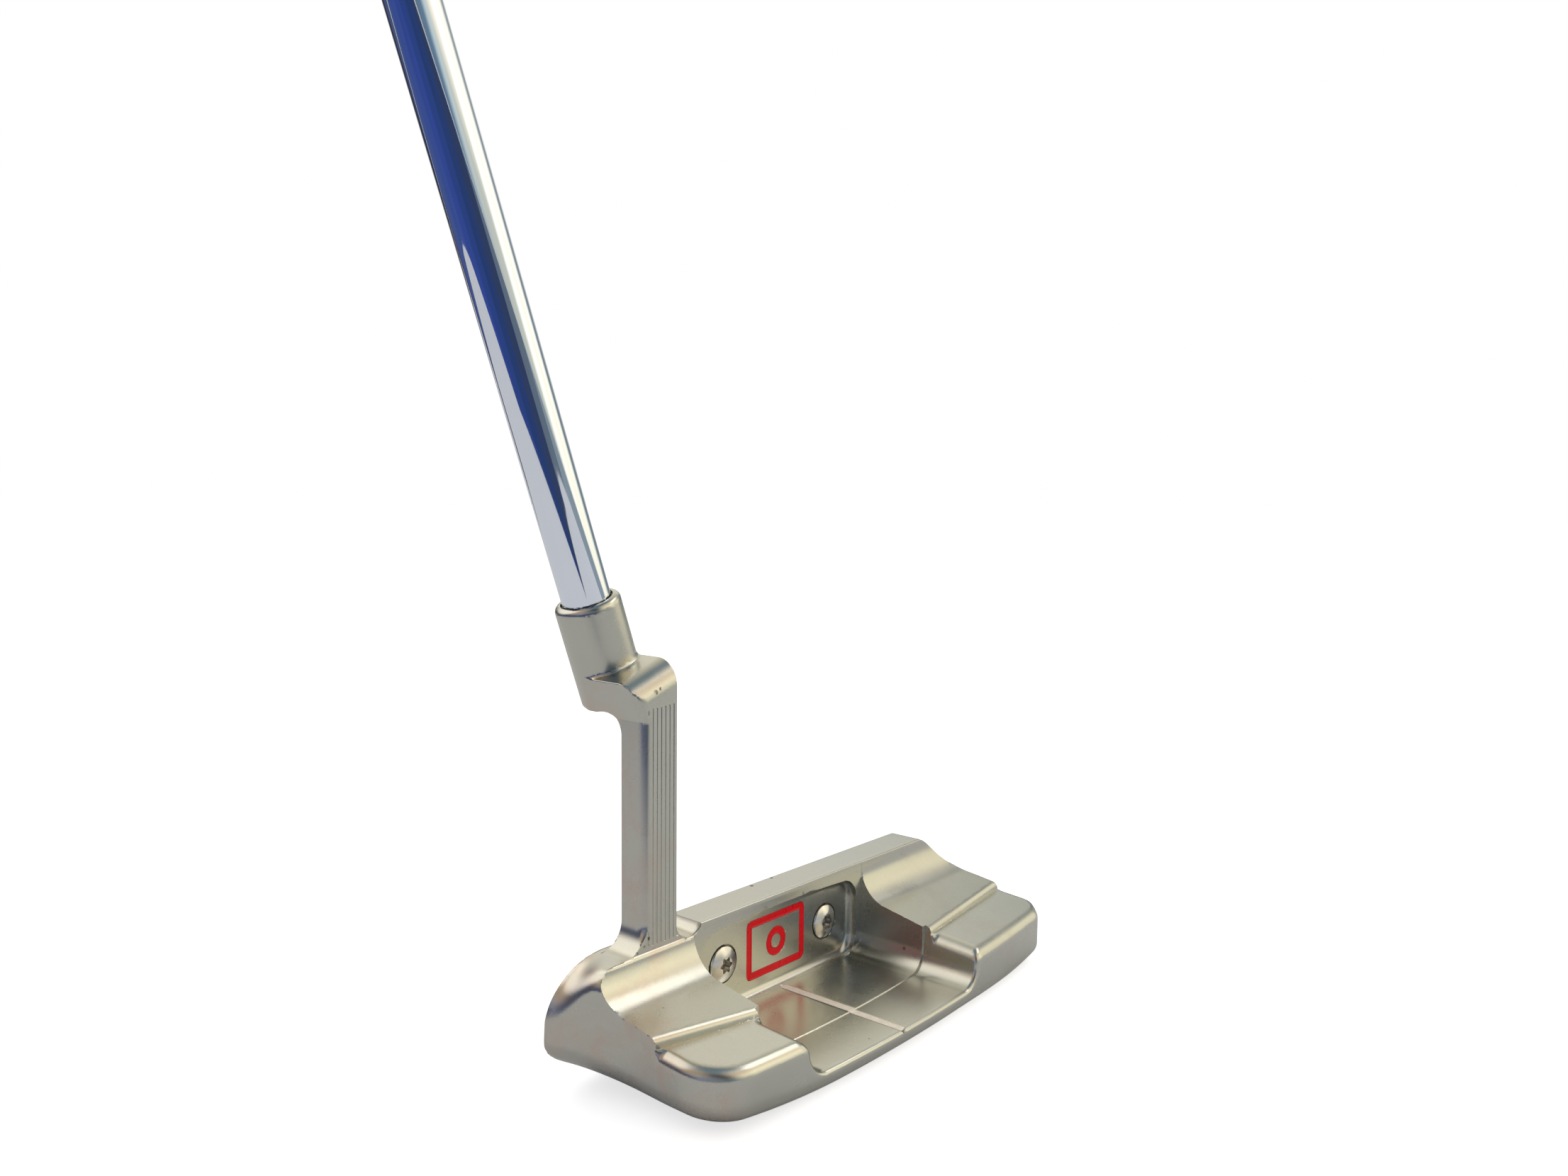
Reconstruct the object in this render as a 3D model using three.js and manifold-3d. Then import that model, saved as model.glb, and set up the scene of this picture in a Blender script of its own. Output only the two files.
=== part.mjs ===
// Blade putter with a plumber's neck hosel, millimetres.
// Axes while drawing: +X heel to toe, +Y towards the target, +Z up.
// The strike face meets the topline at y = 0 and the sole lies on z = 0.
// Every piece is moved by ORIGIN_SHIFT at the end, so that the origin lies on the sole.
import * as THREE from "three";
import { mergeVertices } from "three/addons/utils/BufferGeometryUtils.js";
import Module from "manifold-3d";

const wasm = await Module();
wasm.setup();

// ---- overall ---------------------------------------------------------------------------------
const ORIGIN_SHIFT = 20;
const GAP = 0.3;

// ---- blade -----------------------------------------------------------------------------------
const TOPLINE_Z = 25.5;
const TOPLINE_DEPTH = 8.5;
const LOFT = THREE.MathUtils.degToRad(2.5);
const EDGE_BREAK = 0.4;
const HEEL_ROUND = { x: -45.3, z: 12.7, r: 10.8 };
const CROWN_Z = 23.5;
const TOE_CROWN = { x: 47.5, r: 9 };
const TOE_DROP = [[59.9, 18.25], [56.9, 19.9]];
const TOE_ROUND = { x: 54.9, z: 12.15, r: 9 };
const TOE_FOOT = { x: 60.1, z: 5.8, r: 3.8 };

// ---- back of the head ------------------------------------------------------------------------
const SHOULDER = { y: -12.57, z: 16.9, slope: 0.196, filletR: 6.2 };
const STEP_ARC = { x: 5, y: -26.4, r: 300 };
const STEP = { roundR: 1.2, run: 0.9, floorZ: 11.8 };
const REAR_ARC = { x: 5, y: -39.4, r: 450 };
const REAR_TOP_R = 2.4;
const REAR_FOOT_R = 4.6;
const SOLE_FLAT_HALF = 16;
const SOLE_HEEL_CAMBER_R = 233;
const SOLE_TOE_CAMBER_R = 650;

// [height, how far the plan outline is drawn in] around the foot of the heel and the toe
const FOOT_LEVELS = [[-1, 5], [1.2, 3.2], [2.4, 1.7], [4.2, 0.6], [6.5, 0], [60, 0]];

// ---- cavity ----------------------------------------------------------------------------------
const CAVITY_HALF = 27.1;
const CAVITY_FLOOR_Z = 5.0;
const CAVITY_FILLET = 4.6;
const FLANGE_FLOOR_Z = 5.3;
const FLANGE_TOP_R = 2.6;
const FLANGE_FILLET = 3.6;
const FLOOR_ARC = { x: 0, y: -26.4, r: 300 };

// ---- window in the back wall, screws, face insert ----------------------------------------------
const WINDOW = { half: 24.8, bottom: 5.0, top: 22.4, r: 4.5, depth: 2.3, footR: 1.8 };
const SCREW_X = 16.4;
const SCREW_Z = 14.0;
const COUNTERBORE = { r: 4.05, depth: 1.1 };
const SCREW_HEAD = { r: 3.75, height: 2.2 };
const SCREW_SHANK_R = 1.95;
const SCREW_TIP_Y = -1.05;
const SCREW_TIP_BREAK = 0.3;
const THREAD_CLEAR = 0.12;
const SCREW_HOLE_R = 2.25;
const DRIVE = { r: 1.75, depth: 1.4, lobes: 6 };
const INSERT = { half: 35, bottom: 5.2, top: 22.2, r: 4.0, depth: 3.4 };
const PAD_THICK = 0.5;

// ---- emblem ----------------------------------------------------------------------------------
const EMBLEM = { half: 9.3, halfHigh: 6.3, z: 14.3, stroke: 1.3, ringR: 3.1, depth: 0.5, r: 1.2 };

// ---- sight line ------------------------------------------------------------------------------
const SIGHT = { half: 0.8, front: -8.0, depth: 0.6 };

// ---- neck, crank and hosel barrel --------------------------------------------------------------
const LIE = THREE.MathUtils.degToRad(70);
const NECK = { heelX: -39.7, toeX: -31.5, backY: -8.3, frontY: -1.3, cornerR: 2, bendZ: 66.4 };
const NECK_BASE_R = 5;
const SCOOP = { x: -28.15, z: 26.85, r: 3.35 };
const GROOVES = { count: 6, pitch: 1.07, fromX: -37.8, half: 0.16, depth: 0.25, from: 25.4, to: 71 };
const BARREL = { r: 6.32, y: 6.43, bottomS: 76.5, rimS: 97, rimR: 1.2, footR: 0.6 };
const CRANK = { topS: 83.6, backR: 5, underR: 3.5 };
const BORE = { r: 4.95, bottomS: 78.6 };

// ---- shaft and grip ----------------------------------------------------------------------------
const SHAFT = { tipR: 4.68, buttR: 7.35, wall: 0.55, tipS: 79.4, buttS: 861, stepFrom: 330, steps: 9 };
const STEP_PITCH = 26;
const GRIP = { fromS: 598, toS: 862.5, capR: 10.4, capThick: 2.5 };

const WINDOW_FLOOR_Y = -TOPLINE_DEPTH + WINDOW.depth;

// ---- directions of the tilted hosel ------------------------------------------------------------
const AXIS = new THREE.Vector3(-Math.cos(LIE), 0, Math.sin(LIE));
const SIDE = new THREE.Vector3(Math.sin(LIE), 0, Math.cos(LIE));
const HEEL_U = NECK.heelX * SIDE.x + NECK.bendZ * SIDE.z;
const AXIS_U = HEEL_U + BARREL.r;

// ================================================================================================
// helpers
// ================================================================================================

function bare(geometry) {
  const copy = geometry.clone();
  copy.deleteAttribute("normal");
  copy.deleteAttribute("uv");
  return mergeVertices(copy, 1e-5);
}

function solid(geometry) {
  const plain = bare(geometry);
  const mesh = new wasm.Mesh({
    numProp: 3,
    vertProperties: new Float32Array(plain.attributes.position.array),
    triVerts: new Uint32Array(plain.index.array),
  });
  return new wasm.Manifold(mesh);
}

function geometryOf(manifold) {
  const mesh = manifold.getMesh();
  const geometry = new THREE.BufferGeometry();
  geometry.setAttribute("position", new THREE.BufferAttribute(new Float32Array(mesh.vertProperties), 3));
  geometry.setIndex(new THREE.BufferAttribute(new Uint32Array(mesh.triVerts), 1));
  return geometry;
}

function shapeOf(points) {
  return new THREE.Shape(points.map(([a, b]) => new THREE.Vector2(a, b)));
}

function prismOf(points, depth) {
  return new THREE.ExtrudeGeometry(shapeOf(points), { depth, bevelEnabled: false, curveSegments: 1 });
}

// outline in (x, z), reaching from y = front back to y = back
function prismY(points, front, back) {
  const geometry = prismOf(points, front - back);
  geometry.rotateX(Math.PI / 2);
  geometry.translate(0, front, 0);
  return solid(geometry);
}

// outline in (x, y), reaching from z = low up to z = high
function prismZ(points, low, high) {
  const geometry = prismOf(points, high - low);
  geometry.translate(0, 0, low);
  return solid(geometry);
}

// moves a shape drawn as (y, z, x) into the head
function standX(geometry) {
  const turn = new THREE.Matrix4().makeBasis(
    new THREE.Vector3(0, 1, 0), new THREE.Vector3(0, 0, 1), new THREE.Vector3(1, 0, 0),
  );
  return geometry.applyMatrix4(turn);
}

// moves a shape drawn with +Z along the hosel axis and +X along SIDE into the head
function tilt(geometry) {
  const basis = new THREE.Matrix4().makeBasis(SIDE, new THREE.Vector3(0, 1, 0), AXIS);
  geometry.applyMatrix4(basis);
  return geometry;
}

// outline in (u, y), reaching along the hosel axis from s = low to s = high
function prismS(points, low, high) {
  const geometry = prismOf(points, high - low);
  geometry.translate(0, 0, low);
  return solid(tilt(geometry));
}

// outline in (y, s), reaching along SIDE from u = low to u = high
function prismU(points, low, high) {
  const geometry = prismOf(points, high - low);
  geometry.translate(0, 0, low);
  const turn = new THREE.Matrix4().makeBasis(new THREE.Vector3(0, 1, 0), AXIS, SIDE);
  geometry.applyMatrix4(turn);
  return solid(geometry);
}

function arc(cx, cy, r, from, to, steps) {
  const points = [];
  for (let i = 0; i <= steps; i += 1) {
    const angle = THREE.MathUtils.degToRad(from + ((to - from) * i) / steps);
    points.push([cx + r * Math.cos(angle), cy + r * Math.sin(angle)]);
  }
  return points;
}

function roundedBox(x0, y0, x1, y1, r, steps) {
  return [
    ...arc(x1 - r, y1 - r, r, 0, 90, steps),
    ...arc(x0 + r, y1 - r, r, 90, 180, steps),
    ...arc(x0 + r, y0 + r, r, 180, 270, steps),
    ...arc(x1 - r, y0 + r, r, 270, 360, steps),
  ];
}

// a solid turned about the hosel axis from a closed profile of [radius, s]
function turned(profile, segments) {
  const points = profile.map(([r, s]) => new THREE.Vector2(r, s));
  const geometry = new THREE.LatheGeometry(points, segments);
  geometry.rotateX(Math.PI / 2);
  geometry.translate(AXIS_U, BARREL.y, 0);
  return tilt(geometry);
}

// a solid turned about an axis parallel to Y through (x, z), profile of [radius, y]
function turnedY(profile, x, z, segments) {
  const points = profile.map(([r, y]) => new THREE.Vector2(r, y));
  const geometry = new THREE.LatheGeometry(points, segments);
  geometry.translate(x, 0, z);
  return geometry;
}

// closed skin over equal rings of [a, b, c], where a and b turn counter-clockwise seen from +c,
// or the rings run the other way and [a, b] turns clockwise
function skin(rings) {
  const count = rings[0].length;
  const index = [];
  for (let i = 0; i + 1 < rings.length; i += 1) {
    for (let k = 0; k < count; k += 1) {
      const a = i * count + k;
      const b = i * count + ((k + 1) % count);
      index.push(a, b, b + count, a, b + count, a + count);
    }
  }
  const last = (rings.length - 1) * count;
  const contour = rings[0].map(([a, b]) => new THREE.Vector2(a, b));
  const faces = THREE.ShapeUtils.triangulateShape(contour, []);
  const area = faces.reduce((sum, face) => sum + THREE.ShapeUtils.area(face.map((k) => contour[k])), 0);
  for (const face of faces) {
    const [a, b, c] = area > 0 ? face : [...face].reverse();
    index.push(c, b, a, last + a, last + b, last + c);
  }
  const geometry = new THREE.BufferGeometry();
  geometry.setAttribute("position", new THREE.Float32BufferAttribute(rings.flat(2), 3));
  geometry.setIndex(index);
  return geometry;
}

// the tilted plane of the strike face, as a block in front of it, moved forward by offset
function aheadOfFace(offset) {
  const block = new THREE.BoxGeometry(400, 60, 400);
  block.translate(0, 30 + offset, 0);
  block.rotateX(LOFT);
  block.translate(0, 0, TOPLINE_Z);
  return solid(block);
}

function arcDepth(curve, x) {
  return curve.y + (x - curve.x) ** 2 / (2 * curve.r);
}

function soleHeight(x) {
  const beyond = Math.max(0, Math.abs(x) - SOLE_FLAT_HALF);
  return beyond ** 2 / (2 * (x < 0 ? SOLE_HEEL_CAMBER_R : SOLE_TOE_CAMBER_R));
}

// ================================================================================================
// head
// ================================================================================================

// side profile of the head at one x, as [y, z]
function sideProfile(x) {
  const stepY = arcDepth(STEP_ARC, x);
  const rearY = arcDepth(REAR_ARC, x);
  const soleZ = soleHeight(x);
  const planeZ = (y) => SHOULDER.z + SHOULDER.slope * (y - SHOULDER.y);
  const r = SHOULDER.filletR;
  const lean = Math.atan(SHOULDER.slope);
  const filletEndY = -TOPLINE_DEPTH - r + r * Math.sin(lean);
  const filletZ = planeZ(filletEndY) + r * Math.cos(lean);
  const filletEnd = 270 + THREE.MathUtils.radToDeg(lean);
  const edgeZ = planeZ(stepY + STEP.roundR);
  return [
    [6, TOPLINE_Z],
    [-TOPLINE_DEPTH + EDGE_BREAK, TOPLINE_Z],
    [-TOPLINE_DEPTH, TOPLINE_Z - EDGE_BREAK],
    ...arc(-TOPLINE_DEPTH - r, filletZ, r, 360, filletEnd, 5),
    [stepY + STEP.roundR, edgeZ],
    [stepY + STEP.roundR * 0.35, edgeZ - 0.4],
    [stepY, edgeZ - STEP.roundR],
    [stepY - STEP.run, STEP.floorZ],
    ...arc(rearY + REAR_TOP_R, STEP.floorZ - REAR_TOP_R, REAR_TOP_R, 90, 180, 4),
    ...arc(rearY + REAR_FOOT_R, soleZ + REAR_FOOT_R, REAR_FOOT_R, 180, 270, 5),
    [6, soleZ],
  ];
}

function headBlank() {
  const rings = [];
  for (let x = -62; x <= 70; x += 6) {
    rings.push(sideProfile(x).map(([y, z]) => [y, z, x]));
  }
  return solid(standX(skin(rings)));
}

// outline of the head seen from the face, as [x, z]
function faceOutline() {
  return [
    [-10, -2],
    [20, -2],
    [TOE_FOOT.x, soleHeight(TOE_FOOT.x) - 0.6],
    ...arc(TOE_FOOT.x, TOE_FOOT.z, TOE_FOOT.r, -88, 0, 4),
    ...arc(TOE_ROUND.x, TOE_ROUND.z, TOE_ROUND.r, 0, 28, 4),
    ...TOE_DROP,
    ...arc(TOE_CROWN.x, TOPLINE_Z - TOE_CROWN.r, TOE_CROWN.r, 42, 90, 6),
    [TOE_CROWN.x - 1, TOPLINE_Z + 2],
    [SCOOP.x + 2, TOPLINE_Z + 2],
    [SCOOP.x + 2, CROWN_Z],
    ...arc(HEEL_ROUND.x, HEEL_ROUND.z, HEEL_ROUND.r, 90, 268, 16),
    [HEEL_ROUND.x + 4, soleHeight(HEEL_ROUND.x) - 0.6],
  ];
}

// outline of the head seen from above, as [x, y]
function planOutline() {
  return [
    [-57.5, 25],
    [-56.0, 0],
    [-53.4, -4.5],
    [-51.6, -9],
    [-50.7, -14],
    [-50.4, -21],
    ...arc(-41.6, -28.4, 8.8, 180, 258, 6),
    [-30, -41.5],
    [30, -41.5],
    ...arc(55.2, -29.6, 8.2, 288, 360, 6),
    [63.8, -10],
    [65, 25],
  ];
}

function drawnIn(points, amount) {
  return points.map(([x, y], i) => {
    const [x0, y0] = points[(i + points.length - 1) % points.length];
    const [x1, y1] = points[(i + 1) % points.length];
    const length = Math.hypot(x1 - x0, y1 - y0);
    return [x - (amount * (y1 - y0)) / length, y + (amount * (x1 - x0)) / length];
  });
}

// the plan outline as a block, drawn in towards the sole so that the foot of each end is rounded
function planBlock() {
  const outline = planOutline();
  const rings = FOOT_LEVELS.map(([z, inset]) => drawnIn(outline, inset).map(([x, y]) => [x, y, z]));
  return solid(skin(rings));
}

function cavityOutline(half, floorZ, fillet) {
  return [
    [-half, 45],
    ...arc(-half + fillet, floorZ + fillet, fillet, 180, 270, 5),
    ...arc(half - fillet, floorZ + fillet, fillet, 270, 360, 5),
    [half, 45],
  ];
}

function flangeOutline() {
  const high = STEP.floorZ;
  const wallX = CAVITY_HALF;
  const top = FLANGE_TOP_R;
  const low = FLANGE_FILLET;
  return [
    [-wallX - top, 45],
    ...arc(-wallX - top, high - top, top, 90, 10, 4),
    ...arc(-wallX + low, FLANGE_FLOOR_Z + low, low, 190, 270, 4),
    ...arc(wallX - low, FLANGE_FLOOR_Z + low, low, 270, 350, 4),
    ...arc(wallX + top, high - top, top, 170, 90, 4),
    [wallX + top, 45],
  ];
}

// everything in front of the arc that splits the cavity floor
function aheadOfFloorArc() {
  const points = [];
  for (let x = -34; x <= 34; x += 6.8) {
    points.push([x, arcDepth(FLOOR_ARC, x)]);
  }
  return prismZ([...points, [34, 20], [-34, 20]], -10, 60);
}

function neckAndCrank() {
  const { heelX, toeX, backY, frontY, cornerR } = NECK;
  const plan = [
    ...arc(heelX + cornerR, backY + cornerR, cornerR, 180, 270, 4),
    [toeX, backY],
    [toeX, frontY],
    ...arc(heelX + 1, frontY - 1, 1, 90, 180, 3),
  ];
  const post = prismZ(plan, 8, NECK.bendZ + 2);
  const sideView = [
    ...arc(backY + CRANK.backR, CRANK.topS - CRANK.backR, CRANK.backR, 180, 90, 5).reverse(),
    [backY, 40],
    [frontY, 40],
    ...arc(frontY + CRANK.underR, BARREL.bottomS - CRANK.underR, CRANK.underR, 180, 90, 5),
    [BARREL.y, BARREL.bottomS],
    [BARREL.y, CRANK.topS],
  ];
  const profile = prismU(sideView, -60, 60);
  const tiltedPlan = [
    ...arc(HEEL_U + cornerR, backY + cornerR, cornerR, 180, 270, 4),
    [HEEL_U + 30, backY],
    [HEEL_U + 30, BARREL.y],
    [HEEL_U, BARREL.y],
  ];
  const tilted = prismS(tiltedPlan, 30, 110);
  const toeSide = prismZ([[toeX - 60, -60], [toeX, -60], [toeX, 60], [toeX - 60, 60]], NECK.bendZ - 3, 120);
  const crank = profile.intersect(tilted).intersect(toeSide);
  const lowSide = prismZ([[heelX, -60], [heelX + 60, -60], [heelX + 60, 60], [heelX, 60]], 0, 120);
  return post.add(crank.intersect(lowSide)).add(crank.subtract(below(NECK.bendZ)));
}

function below(z) {
  const block = new THREE.BoxGeometry(400, 400, 200);
  block.translate(0, 0, z - 100);
  return solid(block);
}

function barrel() {
  const { r, bottomS, rimS, rimR, footR } = BARREL;
  const profile = [
    [0, bottomS],
    ...arc(r - footR, bottomS + footR, footR, 270, 360, 3),
    ...arc(r - rimR, rimS - rimR, rimR, 0, 90, 4),
    [0, rimS],
  ];
  return solid(turned(profile, 40));
}

function neckGrooves() {
  const cuts = [];
  for (let i = 0; i < GROOVES.count; i += 1) {
    const x = GROOVES.fromX + i * GROOVES.pitch;
    const outline = [
      [x - GROOVES.half, NECK.backY - 1],
      [x + GROOVES.half, NECK.backY - 1],
      [x + GROOVES.half, NECK.backY + GROOVES.depth],
      [x - GROOVES.half, NECK.backY + GROOVES.depth],
    ];
    cuts.push(prismZ(outline, GROOVES.from, GROOVES.to));
  }
  return cuts;
}

// concave fillet between the heel face of the neck and the crown of the heel
function neckBaseFillet() {
  const r = NECK_BASE_R;
  const points = [
    [NECK.heelX + 1, CROWN_Z - 3],
    [NECK.heelX + 1, CROWN_Z + r],
    ...arc(NECK.heelX - r, CROWN_Z + r, r, 360, 270, 5),
    [NECK.heelX - r, CROWN_Z - 3],
  ];
  return prismY(points, NECK.frontY - 0.6, NECK.backY + 0.2);
}

// concave fillet along the foot of the window
function windowFoot() {
  const r = WINDOW.footR;
  const half = WINDOW.half - WINDOW.r;
  const points = [
    [WINDOW_FLOOR_Y + 0.5, CAVITY_FLOOR_Z - 0.5],
    [WINDOW_FLOOR_Y + 0.5, CAVITY_FLOOR_Z + r],
    ...arc(WINDOW_FLOOR_Y - r, CAVITY_FLOOR_Z + r, r, 360, 270, 4),
    [WINDOW_FLOOR_Y - r, CAVITY_FLOOR_Z - 0.5],
  ];
  const geometry = prismOf(points, half * 2);
  geometry.translate(0, 0, -half);
  return solid(standX(geometry));
}

function screwCuts(x) {
  const floorY = WINDOW_FLOOR_Y;
  const seat = turnedY(
    [[0, floorY - 6], [COUNTERBORE.r, floorY - 6], [COUNTERBORE.r, floorY + COUNTERBORE.depth],
      [0, floorY + COUNTERBORE.depth]],
    x, SCREW_Z, 32,
  );
  const hole = turnedY([[0, -12], [SCREW_HOLE_R, -12], [SCREW_HOLE_R, 4], [0, 4]], x, SCREW_Z, 20);
  return [solid(seat), solid(hole)];
}

function insertOutline(inset) {
  return roundedBox(
    -INSERT.half + inset, INSERT.bottom + inset, INSERT.half - inset, INSERT.top - inset,
    INSERT.r - inset, 5,
  );
}

function frameOutline(inset) {
  return roundedBox(
    -EMBLEM.half + inset, EMBLEM.z - EMBLEM.halfHigh + inset,
    EMBLEM.half - inset, EMBLEM.z + EMBLEM.halfHigh - inset,
    Math.max(0.25, EMBLEM.r - inset), 3,
  );
}

// a flat closed band between two outlines of the emblem, between two depths
function band(outer, inner, front, back) {
  return prismY(outer, front, back).subtract(prismY(inner, front + 1, back - 1));
}

function emblemFrame(clear, front, back) {
  return band(frameOutline(-clear), frameOutline(EMBLEM.stroke + clear), front, back);
}

function emblemRing(clear, front, back) {
  const outer = arc(0, EMBLEM.z, EMBLEM.ringR + clear, 0, 345, 23);
  const inner = arc(0, EMBLEM.z, EMBLEM.ringR - EMBLEM.stroke - clear, 0, 345, 23);
  return band(outer, inner, front, back);
}

function sightOutline(half) {
  const rear = arcDepth(REAR_ARC, 0) + 0.4;
  return [
    ...arc(0, SIGHT.front - half, half, 0, 180, 6),
    [-half, rear],
    [half, rear],
  ];
}

function headBody() {
  let body = headBlank();
  body = body.intersect(prismY(faceOutline(), 8, -45));
  body = body.intersect(planBlock()).subtract(aheadOfFace(0));
  body = body.add(neckAndCrank()).add(neckBaseFillet()).add(barrel());

  const forward = prismY(
    cavityOutline(CAVITY_HALF, CAVITY_FLOOR_Z, CAVITY_FILLET), -TOPLINE_DEPTH, -60,
  ).intersect(aheadOfFloorArc());
  body = body.subtract(forward).subtract(prismY(flangeOutline(), -24, -60).subtract(aheadOfFloorArc()));

  const window = roundedBox(-WINDOW.half, WINDOW.bottom, WINDOW.half, WINDOW.top, WINDOW.r, 5);
  body = body.subtract(prismY(window, WINDOW_FLOOR_Y, -12)).add(windowFoot());
  for (const x of [-SCREW_X, SCREW_X]) {
    for (const cut of screwCuts(x)) {
      body = body.subtract(cut);
    }
  }
  body = body.subtract(emblemFrame(0, WINDOW_FLOOR_Y + EMBLEM.depth, -12));
  body = body.subtract(emblemRing(0, WINDOW_FLOOR_Y + EMBLEM.depth, -12));

  const sightFloor = CAVITY_FLOOR_Z - SIGHT.depth;
  body = body.subtract(prismZ(sightOutline(SIGHT.half), sightFloor, 12));

  const scoop = arc(SCOOP.x, SCOOP.z, SCOOP.r, 0, 345, 23);
  body = body.subtract(prismY(scoop, 4, -12));
  for (const cut of neckGrooves()) {
    body = body.subtract(cut);
  }

  body = body.subtract(prismY(insertOutline(0), 6, -INSERT.depth));
  const bore = turned([[0, BORE.bottomS], [BORE.r, BORE.bottomS], [BORE.r, 120], [0, 120]], 40);
  return geometryOf(body.subtract(solid(bore)));
}

// ================================================================================================
// pieces fitted to the head
// ================================================================================================

function faceInsert() {
  const back = -INSERT.depth + PAD_THICK + GAP / 2;
  let plate = prismY(insertOutline(GAP / 2), 6, back);
  plate = plate.subtract(aheadOfFace(-0.02));
  for (const x of [-SCREW_X, SCREW_X]) {
    const threadR = SCREW_SHANK_R + THREAD_CLEAR;
    const threadEnd = SCREW_TIP_Y + 0.15;
    const thread = [[0, -6], [threadR, -6], [threadR, threadEnd], [0, threadEnd]];
    plate = plate.subtract(solid(turnedY(thread, x, SCREW_Z, 20)));
  }
  return geometryOf(plate);
}

function dampingPad() {
  let pad = prismY(insertOutline(0.6), -INSERT.depth + PAD_THICK, -INSERT.depth + 0.05);
  for (const x of [-SCREW_X, SCREW_X]) {
    const hole = [[0, -6], [SCREW_HOLE_R + 0.3, -6], [SCREW_HOLE_R + 0.3, 0], [0, 0]];
    pad = pad.subtract(solid(turnedY(hole, x, SCREW_Z, 20)));
  }
  return geometryOf(pad);
}

function screw(x) {
  const seatY = WINDOW_FLOOR_Y + COUNTERBORE.depth - 0.05;
  const topY = seatY - SCREW_HEAD.height;
  const flatR = DRIVE.r + 0.55;
  const dome = [];
  for (let i = 0; i <= 5; i += 1) {
    const t = i / 5;
    const r = flatR + (SCREW_HEAD.r - flatR) * Math.sin((t * Math.PI) / 2);
    dome.push([r, topY + (SCREW_HEAD.height - 0.35) * (1 - Math.cos((t * Math.PI) / 2))]);
  }
  const profile = [
    [0, topY],
    ...dome,
    [SCREW_HEAD.r, seatY],
    [SCREW_SHANK_R, seatY],
    [SCREW_SHANK_R, SCREW_TIP_Y - SCREW_TIP_BREAK],
    [SCREW_SHANK_R - SCREW_TIP_BREAK, SCREW_TIP_Y],
    [0, SCREW_TIP_Y],
  ];
  const points = [];
  const lobeSteps = 36;
  for (let i = 0; i < lobeSteps; i += 1) {
    const angle = (i / lobeSteps) * Math.PI * 2;
    const r = DRIVE.r * (0.86 + 0.14 * Math.cos(DRIVE.lobes * angle));
    points.push([x + r * Math.cos(angle), SCREW_Z + r * Math.sin(angle)]);
  }
  const body = solid(turnedY(profile, x, SCREW_Z, 32));
  return geometryOf(body.subtract(prismY(points, topY + DRIVE.depth, topY - 2)));
}

function enamelFrame() {
  return geometryOf(emblemFrame(-0.02, WINDOW_FLOOR_Y + EMBLEM.depth - 0.02, WINDOW_FLOOR_Y + 0.12));
}

function enamelRing() {
  return geometryOf(emblemRing(-0.02, WINDOW_FLOOR_Y + EMBLEM.depth - 0.02, WINDOW_FLOOR_Y + 0.12));
}

function sightPaint() {
  const low = CAVITY_FLOOR_Z - SIGHT.depth + 0.02;
  return geometryOf(prismZ(sightOutline(SIGHT.half - 0.05), low, low + 0.3));
}

// ================================================================================================
// shaft, grip and what joins them
// ================================================================================================

function shaftOuter() {
  const points = [];
  const rise = (SHAFT.buttR - SHAFT.tipR) / SHAFT.steps;
  for (let i = 0; i < SHAFT.steps; i += 1) {
    const s = SHAFT.stepFrom + i * STEP_PITCH;
    points.push([SHAFT.tipR + rise * i, s]);
    points.push([SHAFT.tipR + rise * (i + 1), s + 1.2]);
  }
  return points;
}

function shaft() {
  const outer = [[SHAFT.tipR, SHAFT.tipS], ...shaftOuter(), [SHAFT.buttR, SHAFT.buttS]];
  const { wall, tipR, buttR, tipS, buttS, stepFrom, steps } = SHAFT;
  const inner = [
    [buttR - wall, buttS],
    [buttR - wall, stepFrom + steps * STEP_PITCH],
    [tipR - wall, stepFrom],
    [tipR - wall, tipS],
  ];
  return turned([...outer, ...inner, outer[0]], 32);
}

function ring(inner, outer, low, high, segments) {
  return turned([[inner, low], [outer, low], [outer, high], [inner, high], [inner, low]], segments);
}

function disc(r, low, high, segments) {
  return turned([[0, low], [r, low], [r, high], [0, high]], segments);
}

function hoselEpoxy() {
  return ring(SHAFT.tipR + 0.03, BORE.r - 0.03, SHAFT.tipS + 0.2, BARREL.rimS - 0.5, 40);
}

function tipPlug() {
  return disc(SHAFT.tipR - SHAFT.wall - 0.1, SHAFT.tipS + 0.6, SHAFT.tipS + 9, 24);
}

function gripTape() {
  return ring(SHAFT.buttR + 0.05, SHAFT.buttR + 0.3, GRIP.fromS + 6, SHAFT.buttS - 2, 32);
}

// half sizes of the grip at a share t of its length, 0 at the mouth and 1 at the butt
function gripSize(t) {
  const ease = THREE.MathUtils.smoothstep(t, 0, 0.3);
  const swell = Math.exp(-(((t - 0.86) / 0.13) ** 2));
  return {
    across: 9.9 + 3.0 * ease + 0.5 * t,
    front: 9.6 + 0.5 * ease + 0.3 * t,
    back: 9.9 + 1.6 * ease + 0.6 * t + 3.4 * swell,
  };
}

function gripRing(t, s) {
  const { across, front, back } = gripSize(t);
  const flat = THREE.MathUtils.smoothstep(t, 0, 0.12);
  const points = [];
  const count = 32;
  for (let i = 0; i < count; i += 1) {
    const angle = (i / count) * Math.PI * 2;
    const c = Math.cos(angle);
    const d = Math.sin(angle);
    const power = c > 0 ? 1 - 0.45 * flat : 1;
    const u = c > 0 ? front * c ** power : back * c;
    points.push([AXIS_U + u, BARREL.y + across * d, s]);
  }
  return points;
}

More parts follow.
